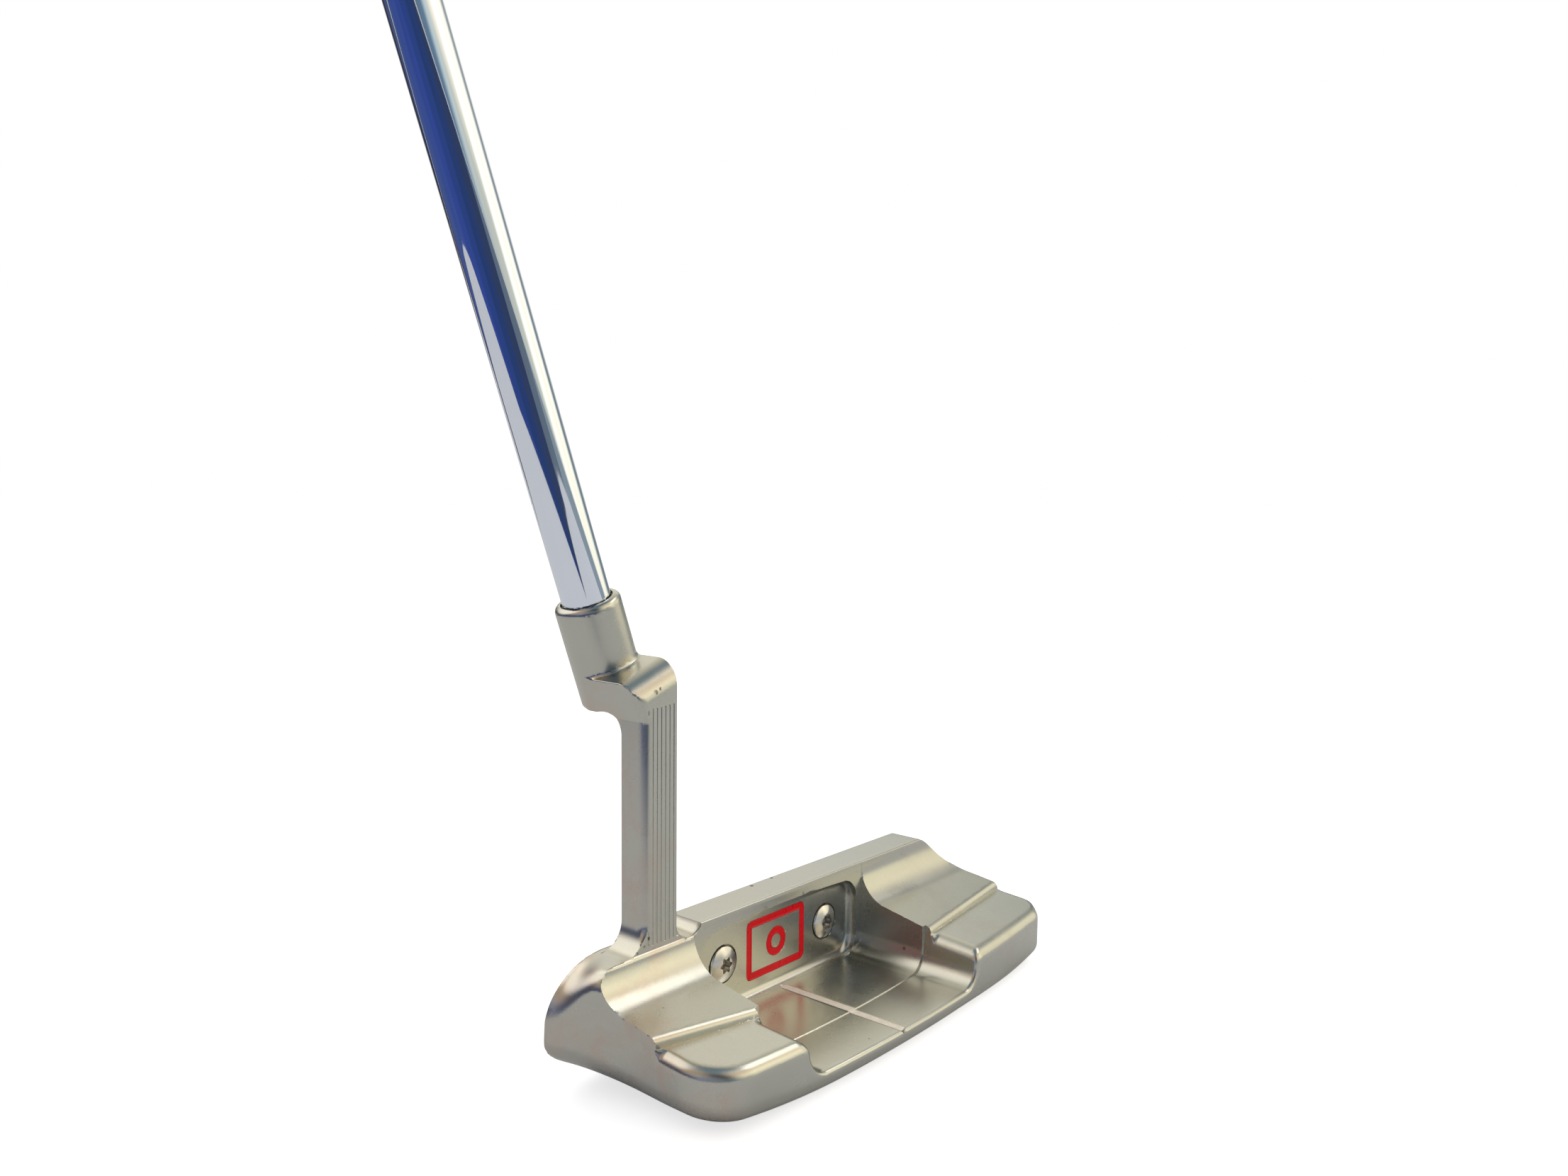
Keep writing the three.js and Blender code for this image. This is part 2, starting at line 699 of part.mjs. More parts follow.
function gripBody() {
  const rings = [];
  const stations = 22;
  for (let i = 0; i <= stations; i += 1) {
    const t = i / stations;
    rings.push(gripRing(t, GRIP.fromS + (GRIP.toS - GRIP.fromS) * t));
  }
  const bore = disc(SHAFT.buttR + 0.35, GRIP.fromS - 5, GRIP.toS + 5, 32);
  return geometryOf(solid(tilt(skin(rings))).subtract(solid(bore)));
}

function gripCap() {
  const low = GRIP.toS + 0.15;
  const head = disc(GRIP.capR, low, low + GRIP.capThick, 40);
  const stem = disc(SHAFT.buttR - SHAFT.wall - 0.2, SHAFT.buttS - 8, low + 0.5, 32);
  return geometryOf(solid(head).add(solid(stem)));
}

// ================================================================================================
// assembly
// ================================================================================================

const PIECES = {
  head_body: headBody,
  face_insert: faceInsert,
  insert_damping_pad: dampingPad,
  insert_screw_heel: () => screw(-SCREW_X),
  insert_screw_toe: () => screw(SCREW_X),
  emblem_frame_enamel: enamelFrame,
  emblem_ring_enamel: enamelRing,
  sight_line_paint: sightPaint,
  hosel_epoxy: hoselEpoxy,
  shaft_tip_plug: tipPlug,
  shaft,
  grip_tape: gripTape,
  grip_body: gripBody,
  grip_end_cap: gripCap,
};

const putter = new THREE.Group();
putter.name = "blade_putter";
for (const [name, make] of Object.entries(PIECES)) {
  const geometry = make();
  geometry.translate(0, ORIGIN_SHIFT, 0);
  const mesh = new THREE.Mesh(geometry);
  mesh.name = name;
  putter.add(mesh);
}

export default putter;
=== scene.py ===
"""The looks of a blade putter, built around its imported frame.

Lengths are in millimetres until a mesh is made. The drawing frame has the top edge of the strike
face at y = 0; the row frame lies ORIGIN_SHIFT further along +Y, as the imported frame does.
The milled head, the screws and the inlays are drawn as distance fields, negative inside, and
meshed by dual contouring; the shaft and the grip are turned and lofted.
"""
import math

import bpy
import numpy as np
from mathutils import Matrix, Vector


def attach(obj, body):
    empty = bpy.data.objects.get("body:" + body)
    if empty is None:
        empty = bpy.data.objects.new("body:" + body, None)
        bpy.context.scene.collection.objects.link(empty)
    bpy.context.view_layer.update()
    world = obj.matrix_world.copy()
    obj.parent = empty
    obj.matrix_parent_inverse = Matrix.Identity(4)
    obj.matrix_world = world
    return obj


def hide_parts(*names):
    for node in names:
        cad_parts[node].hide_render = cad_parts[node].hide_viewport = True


MM = 0.001
ORIGIN_SHIFT = 20.0
FAR = 1e3
TINY = 1e-9

# ---- blade and the back of the head ----
TOPLINE_Z = 25.5
CROWN_Z = 23.5
BACK_Y = -8.5
LOFT = math.radians(2.5)
TOPLINE_ROUND = 0.5
EDGE_ROUND = 0.12
FACE_ROUND = 0.5
HEEL = {"x": -50.4, "flare": 5.7, "from_y": -21.0, "power": 2.65, "limit": 1.15, "corner": 8.8}
HEEL_CROWN_R = {"face": 10.8, "back": 4.0}
HEEL_LIFT = {"height": 2.2, "x": (40.0, 56.0), "y": (-24.0, 0.0)}
TOE = {
    "x": 64.2, "corner": 6.3, "taper": 0.02, "taper_y": -20.0, "top_x": 56.5, "top_r": 9.0,
    "slope": 29.0, "slope_point": (59.8, 18.3), "shoulder_r": 4.5, "scoop_r": 4.0,
}
SHOULDER = {"y": -12.57, "z": 16.9, "slope": 0.196, "fillet": 6.2}
STEP = {
    "heel_y": -31.6, "heel_slope": -0.195, "toe_y": -30.0, "toe_slope": 0.116,
    "round": 1.2, "foot": 0.08, "behind": (-0.4, 1.2),
}
BUMPER = {"y": -36.0, "z": 12.1, "slope": 0.075}
REAR_ARC = {"x": 5.0, "y": -39.4, "r": 450.0}
FOOT = {"r": 4.6, "toe_r": 3.0, "toe_x": (20, 50)}
SOLE = {"flat": 16.0, "heel_camber": 233.0, "toe_camber": 650.0}

# round of the upper edge of the plan outline: on the rear lip, on the bumpers and at the toe corner
LIP_R = 0.9
BUMPER_EDGE = {"r": 2.4, "x": (26.5, 30.5)}
TOE_EDGE = {"r": 1.0, "x": (56, 61), "y": (-35, -31)}

# ---- cavity, window, screws and inlays ----
CAVITY = {"half": 27.1, "floor": 5.05, "fillet": 4.6, "edge": 0.12}
FLANGE_CUT = {"floor": 4.8, "fillet": 3.6, "lean": 8.0, "top": 2.6, "wider": 0.3}
FLOOR_ARC = {"x": 0.0, "y": -26.4, "r": 300.0}
LEDGE_WIDTH = 0.2
WINDOW = {
    "half": 25.2, "bottom": 5.0, "top": 22.2, "arch": 0.9, "corner": 4.5, "y": -6.2,
    "foot": 1.7, "edge": 0.1,
}
SCREW = {
    "x": 16.4, "z": 14.0, "bore": 4.05, "bore_y": -5.1, "bore_edge": 0.1, "hole": 2.25,
    "head": 3.75, "rise": 2.2, "dome": 7.5, "gap": 0.05, "rim": 0.25, "flat_edge": 0.1,
}
DRIVE = {"r": 1.72, "wave": 0.32, "lobes": 6, "depth": 1.3, "ease": 0.9, "edge": 0.06}
DRIVE_BEVEL = {"wider": 0.15, "across": 0.6, "along": 0.8, "down": 0.1, "limit": 0.2}
EMBLEM = {
    "half": 9.3, "high": 6.3, "z": 14.3, "stroke": 1.6, "ring": 3.1, "depth": 0.5,
    "corner": 1.2, "edge": 0.06,
}
ENAMEL = {"gap": 0.03, "sunk": 0.08, "meniscus": 0.1, "meniscus_width": 0.35, "edge": 0.05}
SIGHT = {"r": 1.05, "lift": 0.3, "front": -8.8, "edge": 0.08}
SIGHT_PAINT = {"gap": 0.03, "ledge": 0.6, "sunk": 0.07, "rise": 0.05, "rear": 0.75, "edge": 0.1}
POCKET = {"half": 35.0, "z": 13.7, "high": 8.5, "corner": 4.0, "depth": 3.4, "edge": 0.15}
INSERT = {"gap": 0.15, "sunk": 0.02, "face_edge": 0.25, "pad": 0.65, "back_edge": 0.2}

# ---- neck, crank and hosel barrel ----
LIE = math.radians(70)
NECK = {
    "heel": -39.7, "toe": -31.5, "back": -8.3, "front": -1.3, "corner": 2.0, "bend_z": 66.4, "root_z": 15.0,
}
NECK_FOOT = {"r": 5.0, "corner": 0.25, "z": (24.2, 28.5)}
SCOOP_R = 3.35
GROOVES = {
    "count": 8, "pitch": 1.07, "from_x": -38.9, "half": 0.2, "depth": 0.2, "top": 70.6, "bottom": 24.6,
    "lean": 0.2, "edge": 0.04,
}
BARREL = {"r": 6.32, "y": 6.43, "bottom": 76.5, "rim": 97.0, "rim_r": 1.2, "fillet": 0.7}
CRANK = {"top": 83.6, "back_r": 5.0, "under_r": 3.5, "under_edge": 0.6, "top_edge": 0.3}
BORE = {"r": 4.95, "bottom": 78.6, "edge": 0.2}
AXIS = np.array([-math.cos(LIE), 0.0, math.sin(LIE)])
SIDE = np.array([math.sin(LIE), 0.0, math.cos(LIE)])
HEEL_U = NECK["heel"] * SIDE[0] + NECK["bend_z"] * SIDE[2]
AXIS_U = HEEL_U + BARREL["r"]

# ---- shaft, bond and grip, by radius and by place along the hosel axis ----
SHAFT = {
    "tip_r": 4.68, "butt_r": 7.35, "tip": 79.4, "butt": 861.0, "tip_wall": 0.9, "butt_wall": 0.95,
    "bevel_r": 0.15, "bevel": 0.2, "step_from": 330.0, "steps": 9, "pitch": 26.0, "step": 1.6,
}
# how far the support rings stand from an edge
SUPPORT = 1.0
BOND = {"inner_gap": 0.01, "outer_gap": 0.02, "from_tip": 0.2, "below_rim": 0.35, "bead": (0.1, 0.12)}
GRIP = {
    "mouth": 598.0, "butt": 862.5, "bore_gap": 0.4, "widen": 0.3, "flatten": 0.12, "flatness": 0.45,
    "swell_at": 0.86, "swell": 0.13, "end": 1.5, "end_round": 0.9,
}
# what the mouth, the widening, the whole length and the swell each give to the grip on one side
GRIP_WIDTHS = {"across": (9.9, 3.0, 0.5, 0.0), "front": (9.6, 0.5, 0.3, 0.0), "back": (9.9, 1.6, 0.6, 3.4)}
GRIP_RINGS = {"mouth": 22, "butt": 9, "depth": 0.45, "pitch": 4.4, "power": 4}
GRIP_STATIONS = {"fine": 0.35, "coarse": 2.5, "fine_to": 23}
CAP = {"r": 10.4, "thick": 2.5, "gap": 0.15, "plug": 8, "plug_gap": 1.2, "under": (0.2, 0.3), "round": 1.1}
# radius and depth of the ring and of the vent hole in the top of the cap
CAP_RINGS = [(5.2, 0.0), (5.0, 0.35), (4.4, 0.35), (4.2, 0.0), (1.3, 0.0), (1.1, 0.2), (1.1, 1.6)]

# ---- meshing ----
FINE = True
HEAD_CELL = 0.6 if FINE else 0.9
HEAD_SPAN = {"x": (-73, 66), "y": (-42.3, 14.5), "z": (-0.9, 101)}
GROOVE_CELL = 0.16
GROOVE_MARGIN = 2.5
GROOVE_CELLS = 50
SIGHT_CELL = 0.2
SIGHT_SPAN = (-1.2, 1.2)
LEDGE_CELL = 0.12
LEDGE_SPAN = (-26.7, -25.0)
SMALL_CELL = 0.12 if FINE else 0.2
SMALL_CELLS = (SMALL_CELL,) * 3
PAINT_CELLS = (SMALL_CELL, 2 * SMALL_CELL, SMALL_CELL)
PAINT_SPANS = (SIGHT_SPAN, (-40.5, -7), (4.0, 5.8))
INSERT_CELLS = (1.2 * HEAD_CELL, 0.4, 1.2 * HEAD_CELL)
INSERT_SPAN = (-4, 2)
# room that a grid leaves round its piece
ROOM = {"screw": 0.5, "enamel": 0.4, "insert": 1}
# points round the turned pieces, and along a step of the shaft and the round of the cap
AROUND = 96
SHAFT_AROUND = 128
STEP_PARTS = 4
CAP_PARTS = 6
SHARP = {"shaft": 50, "grip": 50, "cap": 40}
# cells in a block, and blocks that are worked on together
BLOCK = 6
BATCH = 1200
# a block is searched if the field at its middle is below this many half diagonals and this margin
BLOCK_REACH = (1.4, 0.3)
# step for slopes; rounds of the search for a crossing, and the share kept off each end
PROBE = 0.01
ROOT_STEPS = 3
OFF_END = 0.02
# how firmly a vertex is held to the middle of its crossings, and its longest last shift
HOLD = 0.01
LAST_SHIFT = 0.1
# degrees past which a quad's corner has its own normal
CREASE = 18


# ======== distance fields ========

def deeper(a, b, r):
    """Inside both a and b, with the edge between them rounded."""
    return np.minimum(-r, np.maximum(a, b)) + np.hypot(np.maximum(a + r, 0), np.maximum(b + r, 0))


def joined(a, b, r):
    """Inside a or b, with a fillet between them."""
    return np.maximum(r, np.minimum(a, b)) - np.hypot(np.maximum(r - a, 0), np.maximum(r - b, 0))


def cut(a, b, r):
    """Inside a but not b, with the edge between them rounded."""
    return deeper(a, -b, r)


def rounded_box(a, b, half_a, half_b, r):
    p = np.abs(a) - half_a + r
    q = np.abs(b) - half_b + r
    return np.minimum(np.maximum(p, q), 0) + np.hypot(np.maximum(p, 0), np.maximum(q, 0)) - r


def arc_line(curve, x):
    return curve["y"] + (x - curve["x"]) ** 2 / (2 * curve["r"])


def ramp(value, low, high):
    t = np.clip((value - low) / (high - low), 0, 1)
    return t * t * (3 - 2 * t)


def sole_height(x):
    heel = np.maximum(-x - SOLE["flat"], 0)
    toe = np.maximum(x - SOLE["flat"], 0)
    return heel ** 2 / (2 * SOLE["heel_camber"]) + toe ** 2 / (2 * SOLE["toe_camber"])


def step_line(x):
    """Where the shoulder breaks down to the bumper, left and right of the cavity."""
    return np.maximum(STEP["heel_y"] + STEP["heel_slope"] * x, STEP["toe_y"] + STEP["toe_slope"] * x)


def heel_wall(x, y):
    """The heel end seen from above: it flares outwards towards the strike face."""
    t = np.clip((y - HEEL["from_y"]) / -HEEL["from_y"], 0, HEEL["limit"])
    edge = HEEL["x"] - HEEL["flare"] * t ** HEEL["power"]
    slope = HEEL["flare"] * HEEL["power"] / -HEEL["from_y"] * t ** (HEEL["power"] - 1)
    return (edge - x) / np.hypot(1, slope)


def plan(x, y):
    """Outline of the head seen from above."""
    rear = arc_line(REAR_ARC, x) - y
    heel = deeper(heel_wall(x, y), rear, HEEL["corner"])
    toe = deeper(x - TOE["x"] - TOE["taper"] * (y - TOE["taper_y"]), rear, TOE["corner"])
    return np.maximum(heel, toe)


def face_outline(x, y, z):
    """Outline of the head seen from the face, which changes with y at the heel."""
    back = ramp(-y, 0, -BACK_Y)
    r = HEEL_CROWN_R["face"] + (HEEL_CROWN_R["back"] - HEEL_CROWN_R["face"]) * back
    crown = np.minimum(z - CROWN_Z, NECK["toe"] - x)
    heel = deeper(heel_wall(x, y), crown, r)
    top = deeper(x - TOE["top_x"], z - TOPLINE_Z, TOE["top_r"])
    slope = math.radians(TOE["slope"])
    px, pz = TOE["slope_point"]
    hillside = (x - px) * math.sin(slope) + (z - pz) * math.cos(slope)
    bumper = deeper(hillside, x - TOE["x"], TOE["shoulder_r"])
    return np.maximum(heel, joined(top, bumper, TOE["scoop_r"]))


def shell(x, y, z):
    """Ends, rear and sole, rounded along the foot."""
    foot = FOOT["r"] + (FOOT["toe_r"] - FOOT["r"]) * ramp(x, *FOOT["toe_x"])
    lift = HEEL_LIFT["height"] * ramp(-x, *HEEL_LIFT["x"]) * ramp(y, *HEEL_LIFT["y"])
    ends = np.maximum(face_outline(x, y, z), plan(x, y))
    return deeper(ends, sole_height(x) + lift - z, foot)


def cavity_floor(x, y, width):
    """How far a place is ahead of the ledge, 0 to 1 over its width, and the height of the floor there."""
    ahead = np.clip((y - arc_line(FLOOR_ARC, x)) / width + 0.5, 0, 1)
    return ahead, FLANGE_CUT["floor"] + (CAVITY["floor"] - FLANGE_CUT["floor"]) * ahead


def cavity(x, y, z):
    """What the two floors of the cavity take away, behind the back wall."""
    ahead, floor = cavity_floor(x, y, LEDGE_WIDTH)
    fillet = FLANGE_CUT["fillet"] + (CAVITY["fillet"] - FLANGE_CUT["fillet"]) * ahead
    lean = math.tan(math.radians(FLANGE_CUT["lean"])) * (1 - ahead)
    wall = np.abs(x) - CAVITY["half"] - FLANGE_CUT["wider"] * (1 - ahead) - lean * (z - floor - fillet)
    return np.maximum(deeper(wall, floor - z, fillet), y - BACK_Y)


def window(x, y, z):
    """The recess in the back wall."""
    top = WINDOW["top"] + WINDOW["arch"] * (1 - (x / WINDOW["half"]) ** 2)
    outline = deeper(np.abs(x) - WINDOW["half"], z - top, WINDOW["corner"])
    outline = deeper(outline, WINDOW["bottom"] - z, WINDOW["corner"])
    return deeper(outline, y - WINDOW["y"], WINDOW["foot"])


def emblem_frame(x, z):
    middle = rounded_box(
        x, z - EMBLEM["z"], EMBLEM["half"] - EMBLEM["stroke"] / 2, EMBLEM["high"] - EMBLEM["stroke"] / 2,
        EMBLEM["corner"] / 2,
    )
    return np.abs(middle) - EMBLEM["stroke"] / 2


def emblem_ring(x, z):
    middle = EMBLEM["ring"] - EMBLEM["stroke"] / 2
    return np.abs(np.hypot(x, z - EMBLEM["z"]) - middle) - EMBLEM["stroke"] / 2


def sight_groove(x, y, z):
    along = np.maximum(y - SIGHT["front"], 0)
    return np.sqrt(x ** 2 + along ** 2 + (z - CAVITY["floor"] - SIGHT["lift"]) ** 2) - SIGHT["r"]


def blade(x, y, z):
    """The head without its neck."""
    scoop_x = NECK["toe"] + SCOOP_R
    scoop = SCOOP_R - np.hypot(x - scoop_x, z - CROWN_Z - SCOOP_R)
    top = np.minimum(z - CROWN_Z, np.maximum(z - TOPLINE_Z, scoop_x - x))
    top = np.maximum(top, scoop)
    wall = deeper(top, BACK_Y - y, TOPLINE_ROUND)

    plane = z - SHOULDER["z"] - SHOULDER["slope"] * (y - SHOULDER["y"])
    plane = plane / math.hypot(1, SHOULDER["slope"])
    shoulder = deeper(plane, step_line(x) - y, STEP["round"])
    bumper = z - BUMPER["z"] - BUMPER["slope"] * (y - BUMPER["y"])
    body = joined(joined(wall, shoulder, SHOULDER["fillet"]), bumper, STEP["foot"])
    behind = ramp(step_line(x) - y, *STEP["behind"])
    body = cut(body, cavity(x, y, z), CAVITY["edge"] + (FLANGE_CUT["top"] - CAVITY["edge"]) * behind)
    lip = LIP_R + (BUMPER_EDGE["r"] - LIP_R) * ramp(np.abs(x), *BUMPER_EDGE["x"])
    at_toe = ramp(x, *TOE_EDGE["x"]) * ramp(y, *TOE_EDGE["y"])
    lip = lip - (BUMPER_EDGE["r"] - TOE_EDGE["r"]) * at_toe
    body = deeper(body, plan(x, y), EDGE_ROUND + (lip - EDGE_ROUND) * behind)
    body = deeper(body, shell(x, y, z), EDGE_ROUND)
    face = y * math.cos(LOFT) + (z - TOPLINE_Z) * math.sin(LOFT)
    body = deeper(body, face, FACE_ROUND)

    body = cut(body, window(x, y, z), WINDOW["edge"])
    across = np.hypot(np.abs(x) - SCREW["x"], z - SCREW["z"])
    body = cut(body, np.maximum(across - SCREW["bore"], y - SCREW["bore_y"]), SCREW["bore_edge"])
    body = np.maximum(body, SCREW["hole"] - across)
    inlay = np.minimum(emblem_frame(x, z), emblem_ring(x, z))
    inlay = np.maximum(inlay, y - WINDOW["y"] - EMBLEM["depth"])
    body = cut(body, inlay, EMBLEM["edge"])
    body = cut(body, sight_groove(x, y, z), SIGHT["edge"])
    pocket = rounded_box(x, z - POCKET["z"], POCKET["half"], POCKET["high"], POCKET["corner"])
    return cut(body, np.maximum(pocket, -POCKET["depth"] - y), POCKET["edge"])


def neck(x, y, z):
    """The post, the crank and the hosel barrel."""
    u = x * SIDE[0] + z * SIDE[2]
    s = x * AXIS[0] + z * AXIS[2]
    back = NECK["back"] - y
    heel = np.minimum(joined(NECK["heel"] - x, z - CROWN_Z, NECK_FOOT["r"]), HEEL_U - u)
    toe = joined(x - NECK["toe"], z - CROWN_Z, SCOOP_R)
    rise = ramp(z, *NECK_FOOT["z"])
    corner = NECK_FOOT["corner"] + (NECK["corner"] - NECK_FOOT["corner"]) * rise
    post = deeper(deeper(heel, back, corner), toe, EDGE_ROUND)
    under = joined(y - NECK["front"], BARREL["bottom"] - s, CRANK["under_r"])
    cap = deeper(s - CRANK["top"], back, CRANK["back_r"])
    crank = deeper(deeper(post, under, CRANK["under_edge"]), cap, CRANK["top_edge"])
    crank = np.maximum(crank, y - BARREL["y"])

    across = np.hypot(u - AXIS_U, y - BARREL["y"])
    barrel = deeper(across - BARREL["r"], s - BARREL["rim"], BARREL["rim_r"])
    hosel = joined(crank, barrel, BARREL["fillet"])
    hosel = deeper(hosel, under, CRANK["under_edge"])
    hosel = np.maximum(hosel, heel)
    bore = np.maximum(across - BORE["r"], BORE["bottom"] - s)
    hosel = cut(hosel, bore, BORE["edge"])

    groove = FAR
    for index in range(GROOVES["count"]):
        centre = GROOVES["from_x"] + index * GROOVES["pitch"]
        groove = np.minimum(groove, np.abs(x - centre) - GROOVES["half"])
    above = s * GROOVES["lean"] + z * (1 - GROOVES["lean"]) - GROOVES["top"]
    ends = np.maximum(above, GROOVES["bottom"] - z)
    groove = np.maximum(np.maximum(groove, ends), y - NECK["back"] - GROOVES["depth"])
    hosel = cut(hosel, groove, GROOVES["edge"])

    reach = np.maximum(NECK["heel"] - NECK_FOOT["r"] - x, x - NECK["toe"] - SCOOP_R)
    reach = np.minimum(reach, NECK["bend_z"] - z)
    return np.maximum(np.maximum(hosel, reach), NECK["root_z"] - z)


def head(x, y, z):
    return np.minimum(blade(x, y, z), neck(x, y, z))


# ======== dual contouring ========

def lines(marks, cells):
    """Grid lines between marks, each stretch with its own cell, in whole blocks."""
    stretches = zip(marks, marks[1:], cells)
    parts = [np.arange(low, high - cell / 2, cell) for low, high, cell in stretches]
    spare = (1 - sum(len(part) for part in parts)) % BLOCK
    return np.concatenate([*parts, marks[-1] + cells[-1] * np.arange(0, spare)])


def gradient(field, points):
    """Unit slope of the field at each point."""
    slopes = []
    for axis in range(3):
        shift = np.zeros(3)
        shift[axis] = PROBE
        slopes.append(field(*(points + shift).T) - field(*(points - shift).T))
    slope = np.stack(slopes, 1)
    return slope / np.maximum(np.linalg.norm(slope, axis=1, keepdims=True), TINY)


def active_blocks(field, grid):
    """The blocks of cells that the surface may cross."""
    lows = [g[:-1:BLOCK] for g in grid]
    highs = [g[BLOCK::BLOCK] for g in grid]
    centres = np.meshgrid(*[(a + b) / 2 for a, b in zip(lows, highs)], indexing="ij")
    halves = np.meshgrid(*[(b - a) / 2 for a, b in zip(lows, highs)], indexing="ij")
    diagonals, margin = BLOCK_REACH
    reach = diagonals * np.sqrt(sum(h ** 2 for h in halves)) + margin
    return np.argwhere(np.abs(field(*centres)) < reach)


def crossings(field, grid):
    """Every grid edge that the surface crosses: its low corner, its axis, the point and whether the
    low end is inside."""
    blocks = active_blocks(field, grid)
    starts, axes, values = [], [], []
    span = np.arange(BLOCK + 1)
    for first in range(0, len(blocks), BATCH):
        part = blocks[first:first + BATCH] * BLOCK
        index = [part[:, a, None] + span for a in range(3)]
        place = [grid[a][index[a]] for a in range(3)]
        shape = (len(part), BLOCK + 1, BLOCK + 1, BLOCK + 1)
        x = np.broadcast_to(place[0][:, :, None, None], shape)
        y = np.broadcast_to(place[1][:, None, :, None], shape)
        z = np.broadcast_to(place[2][:, None, None, :], shape)
        f = field(x.ravel(), y.ravel(), z.ravel()).reshape(shape)
        own = f[:, :-1, :-1, :-1]
        beyond = (f[:, 1:, :-1, :-1], f[:, :-1, 1:, :-1], f[:, :-1, :-1, 1:])
        for axis in range(3):
            hit = np.argwhere((own < 0) != (beyond[axis] < 0))
            starts.append(part[hit[:, 0]] + hit[:, 1:])
            axes.append(np.full(len(hit), axis))
            where = tuple(hit.T)
            values.append(np.stack([own[where], beyond[axis][where]], 1))
    start, axis, value = map(np.concatenate, (starts, axes, values))
    low = np.stack([grid[a][start[:, a]] for a in range(3)], 1)
    high = low.copy()
    for a in range(3):
        rows = axis == a
        high[rows, a] = grid[a][start[rows, a] + 1]
    inside_low = value[:, 0] < 0
    for _ in range(ROOT_STEPS):
        t = np.clip(value[:, 0] / (value[:, 0] - value[:, 1]), OFF_END, 1 - OFF_END)[:, None]
        point = low + t * (high - low)
        f = field(*point.T)
        same = (f < 0) == (value[:, 0] < 0)
        low[same] = point[same]
        value[same, 0] = f[same]
        high[~same] = point[~same]
        value[~same, 1] = f[~same]
    t = (value[:, 0] / (value[:, 0] - value[:, 1]))[:, None]
    return start, axis, low + t * (high - low), inside_low


def corner_normals(field, vertex, quads, middle):
    """A normal for every corner of every quad: that of its vertex, unless an edge runs through it."""
    smooth = gradient(field, vertex)[quads]
    corners = vertex[quads]
    inner = corners + 0.5 * (middle[:, None] - corners)
    own = gradient(field, inner.reshape(-1, 3)).reshape(corners.shape)
    agree = (smooth * own).sum(2, keepdims=True) > math.cos(math.radians(CREASE))
    return np.where(agree, smooth, own).reshape(-1, 3)


def contour(field, grid):
    """Vertices, quads and corner normals of the surface field = 0."""
    start, axis, point, inside_low = crossings(field, grid)
    normal = gradient(field, point)
    size = [len(g) for g in grid]
    sharing = np.array([(-1, -1), (0, -1), (0, 0), (-1, 0)])
    cells = np.repeat(start[:, None, :], 4, axis=1)
    for a in range(3):
        rows = axis == a
        cells[rows, :, (a + 1) % 3] += sharing[:, 0]
        cells[rows, :, (a + 2) % 3] += sharing[:, 1]
    code = (cells[..., 0] * size[1] + cells[..., 1]) * size[2] + cells[..., 2]
    names, owner = np.unique(code.ravel(), return_inverse=True)
    owner = owner.reshape(-1)
    count = len(names)
    points = np.repeat(point, 4, axis=0)
    normals = np.repeat(normal, 4, axis=0)

    def total(weight):
        return np.bincount(owner, weight, minlength=count)

    amount = total(np.ones(len(owner)))
    mean = np.stack([total(points[:, a]) for a in range(3)], 1) / amount[:, None]
    matrix = np.empty((count, 3, 3))
    for a in range(3):
        for b in range(3):
            matrix[:, a, b] = total(normals[:, a] * normals[:, b])
    plane = (normals * points).sum(1)
    right = np.stack([total(normals[:, a] * plane) for a in range(3)], 1)
    right -= (matrix @ mean[:, :, None])[:, :, 0]
    matrix += np.eye(3) * (HOLD * amount)[:, None, None]
    vertex = mean + np.linalg.solve(matrix, right[:, :, None])[:, :, 0]

    cell = np.stack([names // (size[1] * size[2]), names // size[2] % size[1], names % size[2]], 1)
    for a in range(3):
        inner = np.clip(cell[:, a], 0, size[a] - 2)
        vertex[:, a] = np.clip(vertex[:, a], grid[a][inner], grid[a][inner + 1])
    slope = gradient(field, vertex)
    vertex -= slope * np.clip(field(*vertex.T), -LAST_SHIFT, LAST_SHIFT)[:, None]
    quads = owner.reshape(-1, 4)
    quads = np.where(inside_low[:, None], quads, quads[:, ::-1])
    return vertex, quads, corner_normals(field, vertex, quads, point)


# ======== meshes ========

def set_all(thing, settings):
    for key, value in settings.items():
        setattr(thing, key, value)


def scene_object(name, data):
    thing = bpy.data.objects.new(name, data)
    bpy.context.scene.collection.objects.link(thing)
    return thing


def row_frame(points):
    return (np.asarray(points, float) + (0, ORIGIN_SHIFT, 0)) * MM


def mesh_object(name, vertices, faces, normals=None):
    mesh = bpy.data.meshes.new(name)
    mesh.from_pydata(row_frame(vertices).tolist(), [], [list(map(int, face)) for face in faces])
    mesh.polygons.foreach_set("use_smooth", np.ones(len(mesh.polygons), bool))
    if normals is not None:
        mesh.normals_split_custom_set(normals.tolist())
    mesh.update()
    return scene_object(name, mesh)


def field_object(name, field, grid):
    vertices, quads, normals = contour(field, grid)
    return mesh_object(name, vertices, quads, normals)


def along_hosel(u, v, s):
    """A point from its offsets across the hosel axis and its place along it."""
    return (AXIS_U + u) * SIDE + np.array([0.0, BARREL["y"] + v, 0.0]) + s * AXIS


def circle(radius, s, count=AROUND):
    """Points round the hosel axis."""
    angles = [2 * math.pi * k / count for k in range(count)]
    return [along_hosel(radius * math.cos(a), radius * math.sin(a), s) for a in angles]


